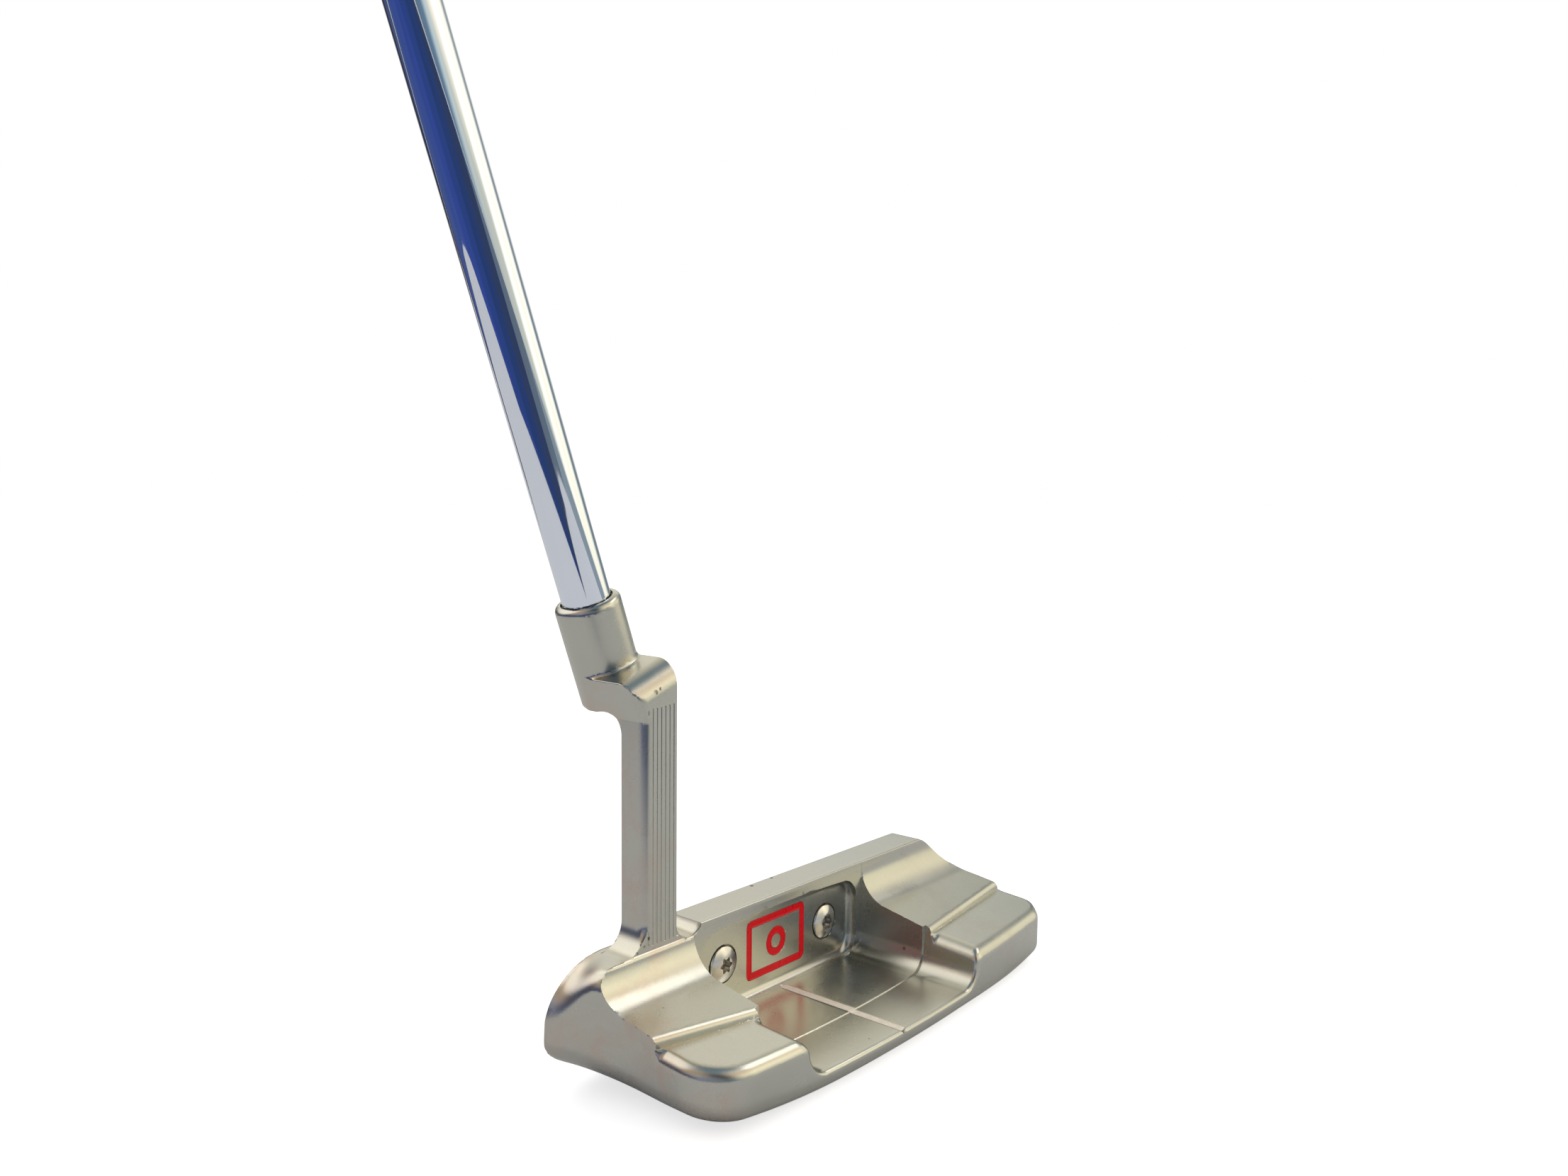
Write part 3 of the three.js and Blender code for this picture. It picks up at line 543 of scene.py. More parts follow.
def lofted(name, rings, closed=False):
    """A skin over rings with equal counts of points, closed on itself or by a flat face at each end."""
    count = len(rings[0])
    vertices = [point for ring in rings for point in ring]
    faces = []
    bands = len(rings) if closed else len(rings) - 1
    for band in range(bands):
        here = band * count
        there = (band + 1) % len(rings) * count
        for k in range(count):
            after = (k + 1) % count
            faces.append((here + k, here + after, there + after, there + k))
    if not closed:
        faces.append(tuple(range(count))[::-1])
        faces.append(tuple((len(rings) - 1) * count + k for k in range(count)))
    return mesh_object(name, vertices, faces)


def turned(name, profile, count=AROUND, closed=False):
    """A skin turned about the hosel axis from a profile of (radius, s)."""
    return lofted(name, [circle(radius, s, count) for radius, s in profile], closed)


def sharpen(piece, angle):
    """Keeps edges steeper than angle crisp."""
    piece.data.set_sharp_from_angle(angle=math.radians(angle))


def place(piece, slot, *nodes):
    """Makes a piece stand for CAD nodes of the one rigid body."""
    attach(piece, "root")
    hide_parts(*nodes)
    return piece


# ======== pieces ========

def make_head():
    grooves_low = GROOVES["from_x"] - GROOVE_MARGIN * GROOVE_CELL
    grooves_high = grooves_low + GROOVE_CELLS * GROOVE_CELL
    left, right = HEAD_SPAN["x"]
    rear, front = HEAD_SPAN["y"]
    x_marks = (left, grooves_low, grooves_high, *SIGHT_SPAN, right)
    grid = (
        lines(x_marks, (HEAD_CELL, GROOVE_CELL, HEAD_CELL, SIGHT_CELL, HEAD_CELL)),
        lines((rear, *LEDGE_SPAN, front), (HEAD_CELL, LEDGE_CELL, HEAD_CELL)),
        lines(HEAD_SPAN["z"], (HEAD_CELL,)),
    )
    piece = field_object("milled_head", head, grid)
    return place(piece, "milled_steel", "head_body")


def screw_field(centre_x):
    top = SCREW["bore_y"] - SCREW["gap"] - SCREW["rise"]

    def field(x, y, z):
        across = np.hypot(x - centre_x, z - SCREW["z"])
        ball = np.sqrt(across ** 2 + (y - top - SCREW["dome"]) ** 2) - SCREW["dome"]
        form = deeper(deeper(across - SCREW["head"], ball, SCREW["rim"]), top - y, SCREW["flat_edge"])
        form = np.maximum(form, y - SCREW["bore_y"] + SCREW["gap"])
        angle = np.arctan2(z - SCREW["z"], x - centre_x)
        lobe = DRIVE["r"] * (1 - DRIVE["wave"] * (0.5 - 0.5 * np.cos(DRIVE["lobes"] * angle)))
        drive = np.maximum(DRIVE["ease"] * (across - lobe), y - top - DRIVE["depth"])
        form = cut(form, drive, DRIVE["edge"])
        bevel = (across - DRIVE["r"] - DRIVE_BEVEL["wider"]) * DRIVE_BEVEL["across"]
        bevel = bevel - (top - y) * DRIVE_BEVEL["along"] - DRIVE_BEVEL["down"]
        return np.maximum(form, -np.maximum(bevel, y - top - DRIVE_BEVEL["limit"]))

    return field


def around(middle, reach):
    return middle - reach, middle + reach


def even_piece(name, field, spans, cells, slot, node):
    """A piece meshed over three (low, high) spans, each with its own even cells."""
    grid = [lines(span, (cell,)) for span, cell in zip(spans, cells)]
    return place(field_object(name, field, grid), slot, node)


def make_screw(side):
    centre_x = side * SCREW["x"]
    room = ROOM["screw"]
    reach = SCREW["head"] + room
    depth = (SCREW["bore_y"] - SCREW["rise"] - room, SCREW["bore_y"] + room)
    spans = (around(centre_x, reach), depth, around(SCREW["z"], reach))
    end = "heel" if side < 0 else "toe"
    names = ("screw_steel", f"insert_screw_{end}")
    return even_piece(f"screw_head_{end}", screw_field(centre_x), spans, SMALL_CELLS, *names)


def enamel_field(outline):
    """Enamel that fills an outline in the window's back wall and creeps up at its edge."""
    def field(x, y, z):
        edge = outline(x, z) + ENAMEL["gap"]
        meniscus = ENAMEL["meniscus"] * ramp(edge, -ENAMEL["meniscus_width"], 0)
        surface = WINDOW["y"] + ENAMEL["sunk"] - meniscus
        behind = y - WINDOW["y"] - EMBLEM["depth"] + ENAMEL["gap"]
        return np.maximum(deeper(edge, surface - y, ENAMEL["edge"]), behind)

    return field


def make_enamel(name, outline, half, high):
    room = ROOM["enamel"]
    depth = (WINDOW["y"] - room, WINDOW["y"] + EMBLEM["depth"] + room)
    spans = (around(0, half + room), depth, around(EMBLEM["z"], high + room))
    names = ("red_enamel", f"emblem_{name}_enamel")
    return even_piece(f"enamel_{name}", enamel_field(outline), spans, SMALL_CELLS, *names)


def sight_paint_field(x, y, z):
    groove = sight_groove(x, y, z) + SIGHT_PAINT["gap"]
    _, floor = cavity_floor(x, y, SIGHT_PAINT["ledge"])
    level = floor - SIGHT_PAINT["sunk"] + SIGHT_PAINT["rise"] * (x / SIGHT["r"]) ** 2
    rear = arc_line(REAR_ARC, x) + SIGHT_PAINT["rear"]
    return deeper(np.maximum(groove, z - level), rear - y, SIGHT_PAINT["edge"])


def make_sight_paint():
    names = ("sight_paint", "sight_line_paint")
    return even_piece("sight_paint_fill", sight_paint_field, PAINT_SPANS, PAINT_CELLS, *names)


def insert_field(x, y, z):
    gap = INSERT["gap"]
    half = POCKET["half"] - gap
    outline = rounded_box(x, z - POCKET["z"], half, POCKET["high"] - gap, POCKET["corner"] - gap)
    face = y * math.cos(LOFT) + (z - TOPLINE_Z) * math.sin(LOFT) + INSERT["sunk"]
    plate = deeper(outline, face, INSERT["face_edge"])
    return deeper(plate, -POCKET["depth"] + INSERT["pad"] - y, INSERT["back_edge"])


def make_insert():
    """The plate in the face, ahead of its damping pad."""
    room = ROOM["insert"]
    spans = (around(0, POCKET["half"] + room), INSERT_SPAN, around(POCKET["z"], POCKET["high"] + room))
    names = ("insert_metal", "face_insert")
    return even_piece("milled_face_insert", insert_field, spans, INSERT_CELLS, *names)


def shaft_profile():
    """From the bore at the tip, along the outside over the steps and back to the bore at the butt.
    Support rings beside each edge keep the shading of the straight lengths true."""
    rise = (SHAFT["butt_r"] - SHAFT["tip_r"]) / SHAFT["steps"]
    radius = SHAFT["tip_r"]
    outside = SHAFT["tip"] + SHAFT["bevel"]
    profile = [(radius - SHAFT["tip_wall"], SHAFT["tip"]), (radius - SHAFT["bevel_r"], SHAFT["tip"])]
    profile += [(radius, outside), (radius, outside + SUPPORT)]
    for index in range(SHAFT["steps"]):
        s = SHAFT["step_from"] + index * SHAFT["pitch"]
        profile.append((radius, s - SUPPORT))
        for part in range(STEP_PARTS + 1):
            t = part / STEP_PARTS
            profile.append((radius + rise * t * t * (3 - 2 * t), s + SHAFT["step"] * t))
        radius += rise
        profile.append((radius, s + SHAFT["step"] + SUPPORT))
    profile += [(SHAFT["butt_r"], SHAFT["butt"] - SUPPORT), (SHAFT["butt_r"], SHAFT["butt"])]
    profile.append((SHAFT["butt_r"] - SHAFT["butt_wall"], SHAFT["butt"]))
    return profile


def make_shaft():
    piece = turned("chromed_shaft", shaft_profile(), count=SHAFT_AROUND, closed=True)
    sharpen(piece, SHARP["shaft"])
    return place(piece, "shaft_chrome", "shaft")


def make_epoxy():
    """The bond, which stands as a small dark bead round the shaft in the mouth of the hosel."""
    inner = SHAFT["tip_r"] + BOND["inner_gap"]
    outer = BORE["r"] - BOND["outer_gap"]
    low = SHAFT["tip"] + BOND["from_tip"]
    top = BARREL["rim"] - BOND["below_rim"]
    down, up = BOND["bead"]
    profile = [(inner, low), (outer, low), (outer, top - down), ((inner + outer) / 2, top)]
    profile.append((inner, top + up))
    return place(turned("epoxy_bead", profile, closed=True), "epoxy", "hosel_epoxy")


def grip_ring(t, s, groove):
    """Section of a pistol grip at a share t of its length, 0 at the mouth and 1 at the butt."""
    ease = float(ramp(t, 0.0, GRIP["widen"]))
    flat = float(ramp(t, 0.0, GRIP["flatten"]))
    swell = math.exp(-(((t - GRIP["swell_at"]) / GRIP["swell"]) ** 2))
    width = {}
    for side, (mouth, widened, along, swollen) in GRIP_WIDTHS.items():
        width[side] = mouth + widened * ease + along * t + swollen * swell - groove
    points = []
    for k in range(AROUND):
        angle = 2 * math.pi * k / AROUND
        c = math.cos(angle)
        u = width["front"] * c ** (1 - GRIP["flatness"] * flat) if c > 0 else width["back"] * c
        points.append(along_hosel(u, width["across"] * math.sin(angle), s))
    return points


def grip_groove(s):
    """Depth of the rings moulded round the mouth and near the butt, and of the round at either end."""
    from_mouth = s - GRIP["mouth"]
    from_butt = GRIP["butt"] - s
    near = min(from_mouth, from_butt)
    if near < GRIP["end"]:
        return GRIP["end_round"] * (1 - math.sqrt(max(0.0, 1 - (1 - near / GRIP["end"]) ** 2)))
    if from_mouth >= GRIP_RINGS["mouth"] and from_butt >= GRIP_RINGS["butt"]:
        return 0.0
    wave = max(0.0, math.cos(2 * math.pi * near / GRIP_RINGS["pitch"]))
    return GRIP_RINGS["depth"] * wave ** GRIP_RINGS["power"]


def make_grip():
    length = GRIP["butt"] - GRIP["mouth"]
    stations = []
    s = GRIP["mouth"]
    while s < GRIP["butt"]:
        stations.append(s)
        near = min(s - GRIP["mouth"], GRIP["butt"] - s)
        s += GRIP_STATIONS["fine"] if near < GRIP_STATIONS["fine_to"] else GRIP_STATIONS["coarse"]
    stations.append(GRIP["butt"])
    rings = [grip_ring((s - GRIP["mouth"]) / length, s, grip_groove(s)) for s in stations]
    inner = SHAFT["butt_r"] + GRIP["bore_gap"]
    rings += [circle(inner, GRIP["butt"]), circle(inner, GRIP["mouth"])]
    piece = lofted("pistol_grip", rings, closed=True)
    sharpen(piece, SHARP["grip"])
    return place(piece, "grip_rubber", "grip_body")


def make_grip_cap():
    """The cap on the butt, with a plug that sits in the shaft."""
    low = GRIP["butt"] + CAP["gap"]
    top = low + CAP["thick"]
    r = CAP["r"]
    bend = CAP["round"]
    plug_r = SHAFT["butt_r"] - CAP["plug_gap"]
    inwards, up = CAP["under"]
    profile = [(plug_r, low - CAP["plug"]), (plug_r, low), (r - inwards, low), (r, low + up)]
    for k in range(CAP_PARTS + 1):
        angle = math.radians(90 * k / CAP_PARTS)
        profile.append((r - bend + bend * math.cos(angle), top - bend + bend * math.sin(angle)))
    profile += [(radius, top - depth) for radius, depth in CAP_RINGS]
    piece = turned("grip_cap", profile)
    sharpen(piece, SHARP["cap"])
    return place(piece, "cap_rubber", "grip_end_cap")


# ======== materials ========

# the values a noise mostly has, and the full share of a spot's radius
NOISE_RANGE = (0.3, 0.7)
SPOT_CORE = 0.6

# plain mottled materials: scale and detail of the noise, dark and light colour, roughness from and to
MOTTLED = {
    "epoxy": (900.0, 3.0, (0.02, 0.018, 0.016), (0.05, 0.042, 0.034), (0.3, 0.5)),
    "cap_rubber": (200.0, 4.0, (0.012, 0.012, 0.013), (0.026, 0.026, 0.026), (0.45, 0.6)),
    "pad_rubber": (400.0, 3.0, (0.02, 0.02, 0.02), (0.04, 0.04, 0.04), (0.6, 0.8)),
    "tip_plug_plastic": (400.0, 3.0, (0.55, 0.50, 0.38), (0.66, 0.61, 0.48), (0.45, 0.6)),
}


class Nodes:
    """A node tree, with short calls for the nodes that repeat."""

    def __init__(self, tree, coordinates):
        self.tree = tree
        self.place = tree.nodes.new("ShaderNodeTexCoord").outputs[coordinates]

    def add(self, kind, inputs=None, **settings):
        node = self.tree.nodes.new("ShaderNode" + kind)
        set_all(node, settings)
        for key, value in (inputs or {}).items():
            self.feed(node.inputs[key], value)
        return node

    def feed(self, socket, value):
        if isinstance(value, bpy.types.NodeSocket):
            self.tree.links.new(value, socket)
        else:
            socket.default_value = value

    def noise(self, scale, detail=3.0, rough=0.5, distortion=0.0, place=None):
        inputs = {"Scale": scale, "Detail": detail, "Roughness": rough, "Distortion": distortion}
        inputs["Vector"] = place or self.place
        return self.add("TexNoise", inputs).outputs["Fac"]

    def streaks(self, scales, detail=2.0):
        """A noise with its own scale along each axis."""
        mapping = self.add("Mapping", {"Vector": self.place, "Scale": scales})
        return self.noise(1.0, detail, place=mapping.outputs["Vector"])

    def spread(self, value, low, high, to_low=0.0, to_high=1.0):
        inputs = {"Value": value, "From Min": low, "From Max": high, "To Min": to_low, "To Max": to_high}
        return self.add("MapRange", inputs, interpolation_type="SMOOTHSTEP").outputs["Result"]

    def between(self, noise, low, high):
        """A number that follows a noise over the values it mostly has."""
        return self.spread(noise, *NOISE_RANGE, low, high)

    def math(self, operation, a, b):
        return self.add("Math", {0: a, 1: b}, operation=operation).outputs["Value"]

    def mix(self, share, a, b):
        """A colour between two, each a socket or three numbers."""
        node = self.add("Mix", {0: share}, data_type="RGBA")
        for index, colour in ((6, a), (7, b)):
            self.feed(node.inputs[index], (*colour, 1) if isinstance(colour, tuple) else colour)
        return node.outputs[2]

    def tinted(self, colour, tint, mask, strength):
        """The colour with a tint laid over it where the mask is 1."""
        return self.mix(self.math("MULTIPLY", mask, strength), colour, tint)

    def bump(self, height, strength, distance, normal=None):
        inputs = {"Height": height, "Strength": strength, "Distance": distance}
        if normal is not None:
            inputs["Normal"] = normal
        return self.add("Bump", inputs).outputs["Normal"]

    def spot(self, x, y, z, radius):
        """1 inside a small ball at a place in the drawing frame, falling to 0 around it."""
        centre = tuple(row_frame((x, y, z)))
        offset = self.add("VectorMath", {0: self.place, 1: centre}, operation="DISTANCE")
        return self.spread(offset.outputs["Value"], radius * MM, radius * SPOT_CORE * MM)

    def spots(self, places):
        """1 inside any of the small balls."""
        share = 0.0
        for place in places:
            share = self.math("MAXIMUM", share, self.spot(*place))
        return share

    def for_camera(self, others, camera):
        """One shader for what the camera sees and another for all other rays."""
        seen = self.add("LightPath").outputs["Is Camera Ray"]
        return self.add("MixShader", {0: seen, 1: others.outputs[0], 2: camera.outputs[0]}).outputs[0]


class Surface(Nodes):
    """A material and its nodes."""

    def __init__(self, name):
        self.material = bpy.data.materials.new(name)
        self.material.use_nodes = True
        super().__init__(self.material.node_tree, "Object")
        self.shader = self.tree.nodes["Principled BSDF"]

    def set(self, **values):
        """Shader sockets by their names, with _ for a space."""
        for key, value in values.items():
            self.feed(self.shader.inputs[key.replace("_", " ")], value)

    def show(self, shader_output):
        self.feed(self.tree.nodes["Material Output"].inputs["Surface"], shader_output)


# nicks and specks of dirt on the head, each a place and a radius
NICKS = [(-2.2, -1.2, 25.5, 0.5), (4.6, -0.9, 25.5, 0.42)]
DIRT = [
    (-36.4, -6.9, 78.4, 0.55), (-36.9, -7.7, 75.2, 0.5), (-36.9, -8.2, 71.9, 0.6), (-35.7, -8.2, 72.4, 0.45),
    (-38.6, -8.2, 26.1, 0.5), (-41.6, -8.4, 24.2, 0.4), (-39.9, -8.3, 24.9, 0.35), (-27.6, -23.6, 16.2, 0.3),
]

# where a pinkish-brown reflection of the warm floor is painted on the steel of the heel and the neck
WARM_REFLECTION_SPOTS = [
    (-50.0, -8.0, 16.0, 17.0), (-52.0, -30.0, 6.0, 12.0), (-39.7, -5.0, 34.0, 20.0),
    (-41.0, 2.0, 62.0, 14.0),
]


def milled_steel():
    """Bead-blasted stainless steel with faint stains and specks, and a soft pinkish-brown reflection painted
    on the heel and the neck.
    """
    n = Surface("milled_steel")
    cloud = n.noise(70.0, detail=5.0, rough=0.62)
    stain = n.spread(n.noise(38.0, detail=6.0, rough=0.7, distortion=0.6), 0.52, 0.75)
    grain = n.noise(2600.0, detail=2.0, rough=0.55)
    fleck = n.add("TexVoronoi", {"Vector": n.place, "Scale": 260.0, "Randomness": 1.0})
    lucky = n.add("SeparateColor", {"Color": fleck.outputs["Color"]}).outputs["Red"]
    speck = n.math("LESS_THAN", fleck.outputs["Distance"], n.spread(lucky, 0.93, 1.0, 0.0, 0.13))
    blotch_mask = n.spread(n.noise(110.0, detail=6.0, rough=0.68, distortion=0.4), 0.42, 0.68)
    ragged = n.spread(n.noise(1500.0), 0.35, 0.55)
    dark_patch = n.math("MULTIPLY", n.spots(DIRT), ragged)

    colour = n.mix(cloud, (0.49, 0.495, 0.45), (0.585, 0.59, 0.54))
    colour = n.tinted(colour, (0.47, 0.44, 0.385), stain, 0.3)
    # painted reflection: a blotchy pinkish-brown tint of the warm floor laid on the heel and the neck
    for patch in WARM_REFLECTION_SPOTS:
        painted_reflection = n.math("MULTIPLY", n.spot(*patch), blotch_mask)
        colour = n.tinted(colour, (0.56, 0.46, 0.40), painted_reflection, 0.6)
    colour = n.tinted(colour, (0.42, 0.41, 0.38), n.between(grain, 0.0, 1.0), 0.12)
    colour = n.tinted(colour, (0.12, 0.095, 0.07), speck, 0.6)
    colour = n.mix(n.spots(NICKS), colour, (0.035, 0.03, 0.028))
    colour = n.tinted(colour, (0.16, 0.10, 0.045), dark_patch, 0.85)

    rough = n.between(cloud, 0.24, 0.30)
    rough = n.math("ADD", rough, n.math("MULTIPLY", stain, 0.05))
    rough = n.math("ADD", rough, n.math("MULTIPLY", dark_patch, 0.35))
    normal = n.bump(grain, 0.10, 0.00004)
    normal = n.bump(n.noise(420.0), 0.05, 0.0002, normal)
    n.set(Base_Color=colour, Metallic=1.0, Roughness=rough, Normal=normal, Anisotropic=0.15)
    return n.material


def screw_steel():
    """Turned and tumbled stainless steel, brighter than the head, and darker brown at the floor of each
    drive.
    """
    n = Surface("screw_steel")
    cloud = n.noise(300.0, detail=4.0)
    colour = n.mix(cloud, (0.60, 0.59, 0.56), (0.72, 0.71, 0.68))
    floor_y = SCREW["bore_y"] - SCREW["rise"] + DRIVE["depth"]
    # darker brown over the floor of each drive
    for centre_x in (-SCREW["x"], SCREW["x"]):
        dark_patch = n.spot(centre_x, floor_y, SCREW["z"], 1.5)
        colour = n.tinted(colour, (0.13, 0.095, 0.06), dark_patch, 0.75)
    n.set(Base_Color=colour, Metallic=1.0, Roughness=n.between(cloud, 0.17, 0.26))
    n.set(Normal=n.bump(n.noise(3000.0, detail=2.0), 0.06, 0.00003))
    return n.material


def insert_metal():
    """Face plate with fine fly-cut lines."""
    n = Surface("insert_metal")
    cut_lines = n.streaks((60.0, 60.0, 2600.0))
    cloud = n.noise(80.0, detail=4.0)
    n.set(Base_Color=n.mix(cloud, (0.55, 0.55, 0.54), (0.66, 0.66, 0.65)), Metallic=1.0, Anisotropic=0.4)
    n.set(Roughness=n.between(cut_lines, 0.24, 0.36), Normal=n.bump(cut_lines, 0.25, 0.00006))
    return n.material


def red_enamel():
    """Red enamel with a soft gloss and a slightly uneven surface."""
    n = Surface("red_enamel")
    pool = n.noise(500.0)
    colour = n.mix(pool, (0.84, 0.002, 0.010), (0.97, 0.004, 0.018))
    n.set(Base_Color=colour, Roughness=n.between(pool, 0.25, 0.35), Coat_Weight=0.05)
    n.set(Coat_Roughness=0.15, Specular_IOR_Level=0.2, Normal=n.bump(pool, 0.15, 0.0001))
    return n.material


def sight_paint():
    """Matt off-white paint, yellowed with wear."""
    n = Surface("sight_paint")
    wear = n.spread(n.noise(700.0, detail=5.0, rough=0.65), 0.42, 0.7)
    colour = n.mix(wear, (1.0, 0.95, 0.87), (0.90, 0.83, 0.74))
    n.set(Base_Color=colour, Roughness=n.spread(wear, 0.0, 1.0, 0.42, 0.55))
    n.set(Normal=n.bump(n.noise(2500.0, detail=2.0), 0.2, 0.00005))
    return n.material


def shaft_chrome():
    """Bright chrome with the faintest polishing lines along the tube."""
    n = Surface("shaft_chrome")
    haze = n.noise(45.0, detail=4.0)
    scratch = n.streaks((2500.0, 2500.0, 90.0))
    n.set(Base_Color=n.mix(haze, (0.78, 0.84, 0.96), (0.83, 0.89, 0.99)), Metallic=1.0)
    n.set(Roughness=n.between(haze, 0.025, 0.06), Normal=n.bump(scratch, 0.01, 0.00002))
    return n.material


def grip_rubber():
    """Black rubber, moulded with a fine pattern of pips and lightly greyed by handling."""
    n = Surface("grip_rubber")
    pips = n.add("TexVoronoi", {"Vector": n.place, "Scale": 520.0, "Randomness": 0.25})
    pip = n.spread(pips.outputs["Distance"], 0.5, 0.15)
    blotch_mask = n.spread(n.noise(28.0, detail=5.0, rough=0.6), 0.4, 0.7)
    n.set(Base_Color=n.mix(blotch_mask, (0.012, 0.012, 0.013), (0.030, 0.029, 0.028)))
    n.set(Roughness=n.spread(blotch_mask, 0.0, 1.0, 0.62, 0.5), Specular_IOR_Level=0.4)
    n.set(Normal=n.bump(n.noise(3000.0, detail=2.0), 0.2, 0.00005, n.bump(pip, 0.7, 0.0003)))
    return n.material


def mottled(name, grainy=False):
    """A material whose colour and roughness vary softly together."""
    scale, detail, dark, light, rough = MOTTLED[name]
    n = Surface(name)
    cloud = n.noise(scale, detail=detail)
    n.set(Base_Color=n.mix(cloud, dark, light), Roughness=n.between(cloud, *rough))
    if grainy:
        n.set(Normal=n.bump(n.noise(2500.0), 0.2, 0.00005))
    return n.material


def tape_paper():
    """Creped paper tape."""
    n = Surface("tape_paper")
    crepe = n.streaks((300.0, 300.0, 1800.0), detail=3.0)
    n.set(Base_Color=n.mix(crepe, (0.55, 0.52, 0.42), (0.70, 0.67, 0.57)))
    n.set(Roughness=n.between(crepe, 0.7, 0.9), Normal=n.bump(crepe, 0.5, 0.0001))
    return n.material


def paint(piece, material):
    piece.data.materials.clear()
    piece.data.materials.append(material)


# ======== studio ========

# soft lights far off around the object: azimuth from the rear of the head towards the toe,
# elevation, half-angle of the full part and of the faded edge, colour
SURROUNDINGS = [
    (60, 12, 8, 36, (1.20, 1.10, 0.82)),
    (20, 12, 8, 36, (0.60, 0.60, 0.48)),
    (20, 42, 10, 36, (1.00, 0.78, 0.55)),
    (80, 42, 10, 36, (0.22, 0.20, 0.18)),
    (100, 12, 8, 36, (0.16, 0.20, 0.20)),
    (140, 12, 8, 36, (0.42, 0.41, 0.42)),
    (140, 42, 10, 36, (0.80, 0.75, 0.60)),
    (-160, 42, 10, 36, (1.60, 1.50, 1.35)),
    (-100, 42, 10, 36, (0.56, 0.42, 0.30)),
    (-60, 12, 8, 36, (0.27, 0.30, 0.38)),
    (0, 80, 10, 40, (0.14, 0.24, 0.32)),
    (-150, 6, 14, 32, (0.05, 0.07, 0.15)),
    (-95, 6, 14, 32, (0.03, 0.05, 0.14)),
    (-15, 8, 8, 26, (0.12, 0.20, 0.26)),
]
AMBIENT = (0.02, 0.02, 0.025)

# what a mirror sees of the ground beyond the pale floor: azimuths from and to, the distances in
# metres at which the colour begins at either side, colour
GROUND_COLOURS = [
    (183, 192, 0.42, 0.46, (0.05, 0.055, 0.11)),
    (192, 223, 0.72, 0.62, (0.075, 0.11, 0.28)),
    (223, 248, 0.62, 0.46, (0.055, 0.095, 0.31)),
    (248, 268, 0.46, 0.28, (0.045, 0.08, 0.31)),
    (268, 290, 0.28, 0.23, (0.035, 0.07, 0.25)),
    (290, 315, 0.23, 0.17, (0.03, 0.06, 0.18)),
    (315, 342, 0.17, 0.32, (0.04, 0.06, 0.13)),
    (342, 370, 0.34, 0.65, (0.15, 0.19, 0.23)),
    (370, 415, 0.65, 0.90, (0.30, 0.36, 0.38)),
]
GROUND_REACH = 4.0
GROUND_STEPS = 16
GROUND_SHADE = 0.75
HIDDEN_RAYS = ("visible_camera", "visible_diffuse", "visible_shadow", "visible_transmission")
MIRRORS_ONLY = dict.fromkeys(HIDDEN_RAYS, False)
BACKDROP = (1.0, 1.0, 1.0)
FLOOR = {"half": 6.0, "dark": (0.76, 0.79, 0.86), "light": (0.78, 0.81, 0.88), "lift": 0.66}
KEY = {"shape": "RECTANGLE", "size": 1.0, "size_y": 0.6, "energy": 4.2, "color": (1.0, 0.97, 0.90)}
KEY_PLACE = {"azimuth": 70, "elevation": 52, "distance": 1.9}


def direction(azimuth, elevation):
    a = math.radians(azimuth)
    e = math.radians(elevation)
    return (math.sin(a) * math.cos(e), -math.cos(a) * math.cos(e), math.sin(e))


def make_surroundings():
    """A dark studio with soft lights round the object, seen only by its light and in reflections."""
    world = bpy.data.worlds.new("studio")
    bpy.context.scene.world = world
    world.use_nodes = True
    world.node_tree.nodes.clear()
    n = Nodes(world.node_tree, "Generated")
    colour = AMBIENT
    for azimuth, elevation, full, fade, tint in SURROUNDINGS:
        aim = {0: n.place, 1: direction(azimuth, elevation)}
        towards = n.add("VectorMath", aim, operation="DOT_PRODUCT").outputs["Value"]
        share = n.spread(towards, math.cos(math.radians(fade)), math.cos(math.radians(full)))
        colour = n.add("VectorMath", {0: share, 1: tint, 2: colour}, operation="MULTIPLY_ADD").outputs[0]
    lit = n.add("Background", {"Color": colour})
    backdrop = n.add("Background", {"Color": (*BACKDROP, 1)})
    n.add("OutputWorld", {0: n.for_camera(lit, backdrop)})


def stage_object(name, vertices, faces, material):
    """A mesh in metres that belongs to the studio."""
    mesh = bpy.data.meshes.new(name)
    mesh.from_pydata(vertices, [], faces)
    piece = scene_object(name, mesh)
    paint(piece, material)
    return piece


def make_floor():
    """Matt pale floor. To the camera it is lifted towards the backdrop, so that no horizon shows."""
    n = Surface("pale_floor")
    n.set(Base_Color=n.mix(n.noise(6.0), FLOOR["dark"], FLOOR["light"]))
    n.set(Roughness=0.9, Specular_IOR_Level=0.0)
    lift = n.add("Emission", {"Color": (1, 1, 1, 1), "Strength": FLOOR["lift"]})
    lifted = n.add("AddShader", {0: n.shader.outputs[0], 1: lift.outputs[0]})
    n.show(n.for_camera(n.shader, lifted))
    half = FLOOR["half"]
    corners = [(-half, -half, 0), (half, -half, 0), (half, half, 0), (-half, half, 0)]
    stage_object("floor", corners, [(0, 1, 2, 3)], n.material)


def floor_card(name, start, end, near_start, near_end, colour):
    """A sector of coloured ground, azimuths start to end, that only mirrors see."""
    vertices = []
    for index in range(GROUND_STEPS + 1):
        share = index / GROUND_STEPS
        along = direction(start + (end - start) * share, 0)
        for distance in (near_start + (near_end - near_start) * share, GROUND_REACH):
            vertices.append((along[0] * distance, along[1] * distance, MM))
    faces = [(2 * k, 2 * k + 1, 2 * k + 3, 2 * k + 2) for k in range(GROUND_STEPS)]
    n = Surface(name)
    dark = tuple(GROUND_SHADE * part for part in colour)
    shade = n.mix(n.noise(3.0, detail=2.0), dark, colour)
    n.show(n.add("Emission", {"Color": shade, "Strength": 1.0}).outputs[0])
    card = stage_object(name, vertices, faces, n.material)
    set_all(card, MIRRORS_ONLY)


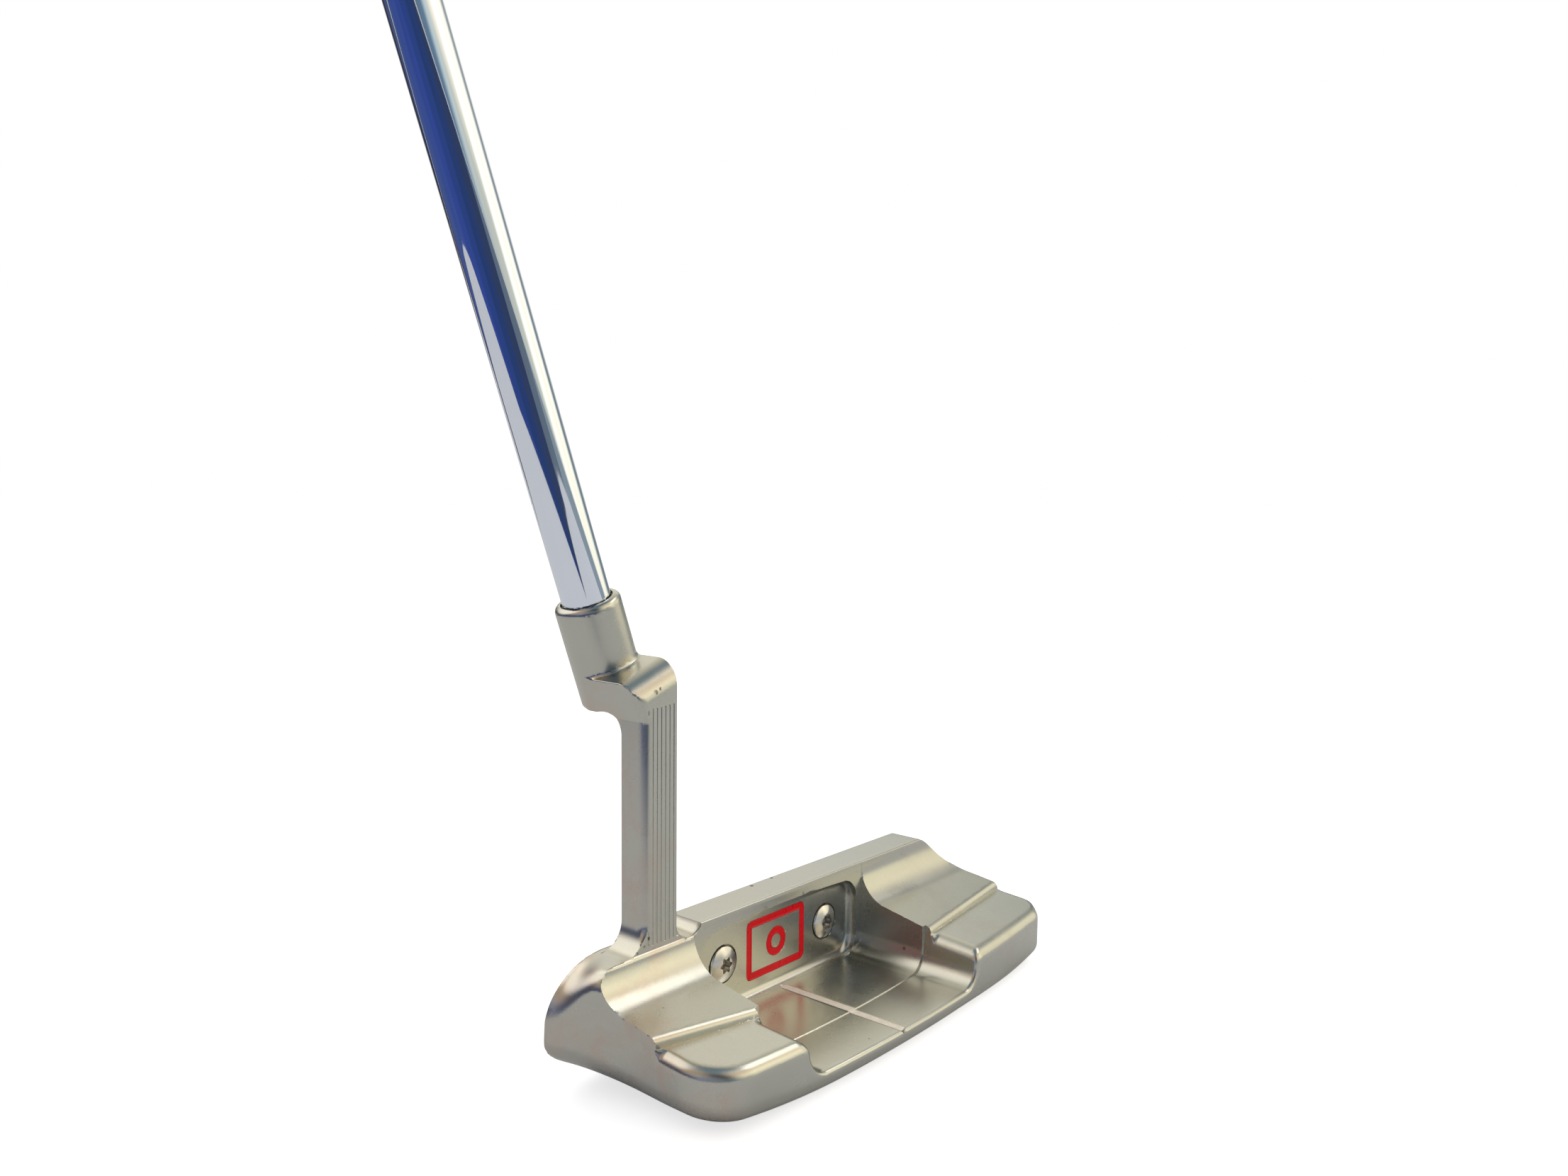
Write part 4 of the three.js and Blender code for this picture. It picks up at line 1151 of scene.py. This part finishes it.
def make_ground_colours():
    """What lies beyond the pale ground: a blue cloth on the heel side, lighter towards the toe."""
    for index, sector in enumerate(GROUND_COLOURS):
        floor_card(f"ground_{index}", *sector)


def make_key():
    """A large soft light over the toe, which draws the soft shadow and the bright edges."""
    light = bpy.data.lights.new("key", "AREA")
    set_all(light, KEY)
    lamp = scene_object("key", light)
    spot = Vector(direction(KEY_PLACE["azimuth"], KEY_PLACE["elevation"])) * KEY_PLACE["distance"]
    lamp.matrix_world = Matrix.Translation(spot) @ spot.to_track_quat("Z", "Y").to_matrix().to_4x4()


# ======== camera ========

CAMERA = {"place": (-190.51, -166.85, 108.87), "azimuth": -50.08, "elevation": 4.59, "roll": 0.57}
LENS = {
    "sensor_fit": "HORIZONTAL", "sensor_width": 36.0, "lens": 27.866, "clip_start": 0.005, "clip_end": 50.0,
}


def make_camera():
    """The camera at its place in the drawing frame, turned back along its own direction."""
    back = Vector(direction(CAMERA["azimuth"], CAMERA["elevation"]))
    right = (-back).cross(Vector((0, 0, 1))).normalized()
    up = right.cross(-back)
    roll = math.radians(CAMERA["roll"])
    across = math.cos(roll) * right + math.sin(roll) * up
    upward = math.cos(roll) * up - math.sin(roll) * right
    turn = Matrix((across, upward, back)).transposed().to_4x4()
    data = bpy.data.cameras.new("camera")
    set_all(data, LENS)
    camera = scene_object("camera", data)
    camera.matrix_world = Matrix.Translation(Vector(row_frame(CAMERA["place"]))) @ turn
    bpy.context.scene.camera = camera


# ======== the scene ========

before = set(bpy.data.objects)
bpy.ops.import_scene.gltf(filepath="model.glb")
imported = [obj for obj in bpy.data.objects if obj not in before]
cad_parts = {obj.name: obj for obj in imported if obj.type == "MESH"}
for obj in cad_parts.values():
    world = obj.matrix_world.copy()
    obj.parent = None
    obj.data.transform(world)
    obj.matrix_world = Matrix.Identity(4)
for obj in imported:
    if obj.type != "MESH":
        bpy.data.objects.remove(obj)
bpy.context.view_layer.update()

paint(make_head(), milled_steel())
polished = screw_steel()
for side in (-1, 1):
    paint(make_screw(side), polished)
enamel = red_enamel()
paint(make_enamel("frame", emblem_frame, EMBLEM["half"], EMBLEM["high"]), enamel)
paint(make_enamel("ring", emblem_ring, EMBLEM["ring"], EMBLEM["ring"]), enamel)
paint(make_sight_paint(), sight_paint())
paint(make_insert(), insert_metal())
paint(make_shaft(), shaft_chrome())
paint(make_epoxy(), mottled("epoxy"))
paint(make_grip(), grip_rubber())
paint(make_grip_cap(), mottled("cap_rubber", grainy=True))
paint(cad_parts["insert_damping_pad"], mottled("pad_rubber"))
paint(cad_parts["shaft_tip_plug"], mottled("tip_plug_plastic"))
paint(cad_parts["grip_tape"], tape_paper())

make_surroundings()
make_floor()
make_ground_colours()
make_key()
make_camera()
bpy.context.scene.view_settings.view_transform = "Standard"
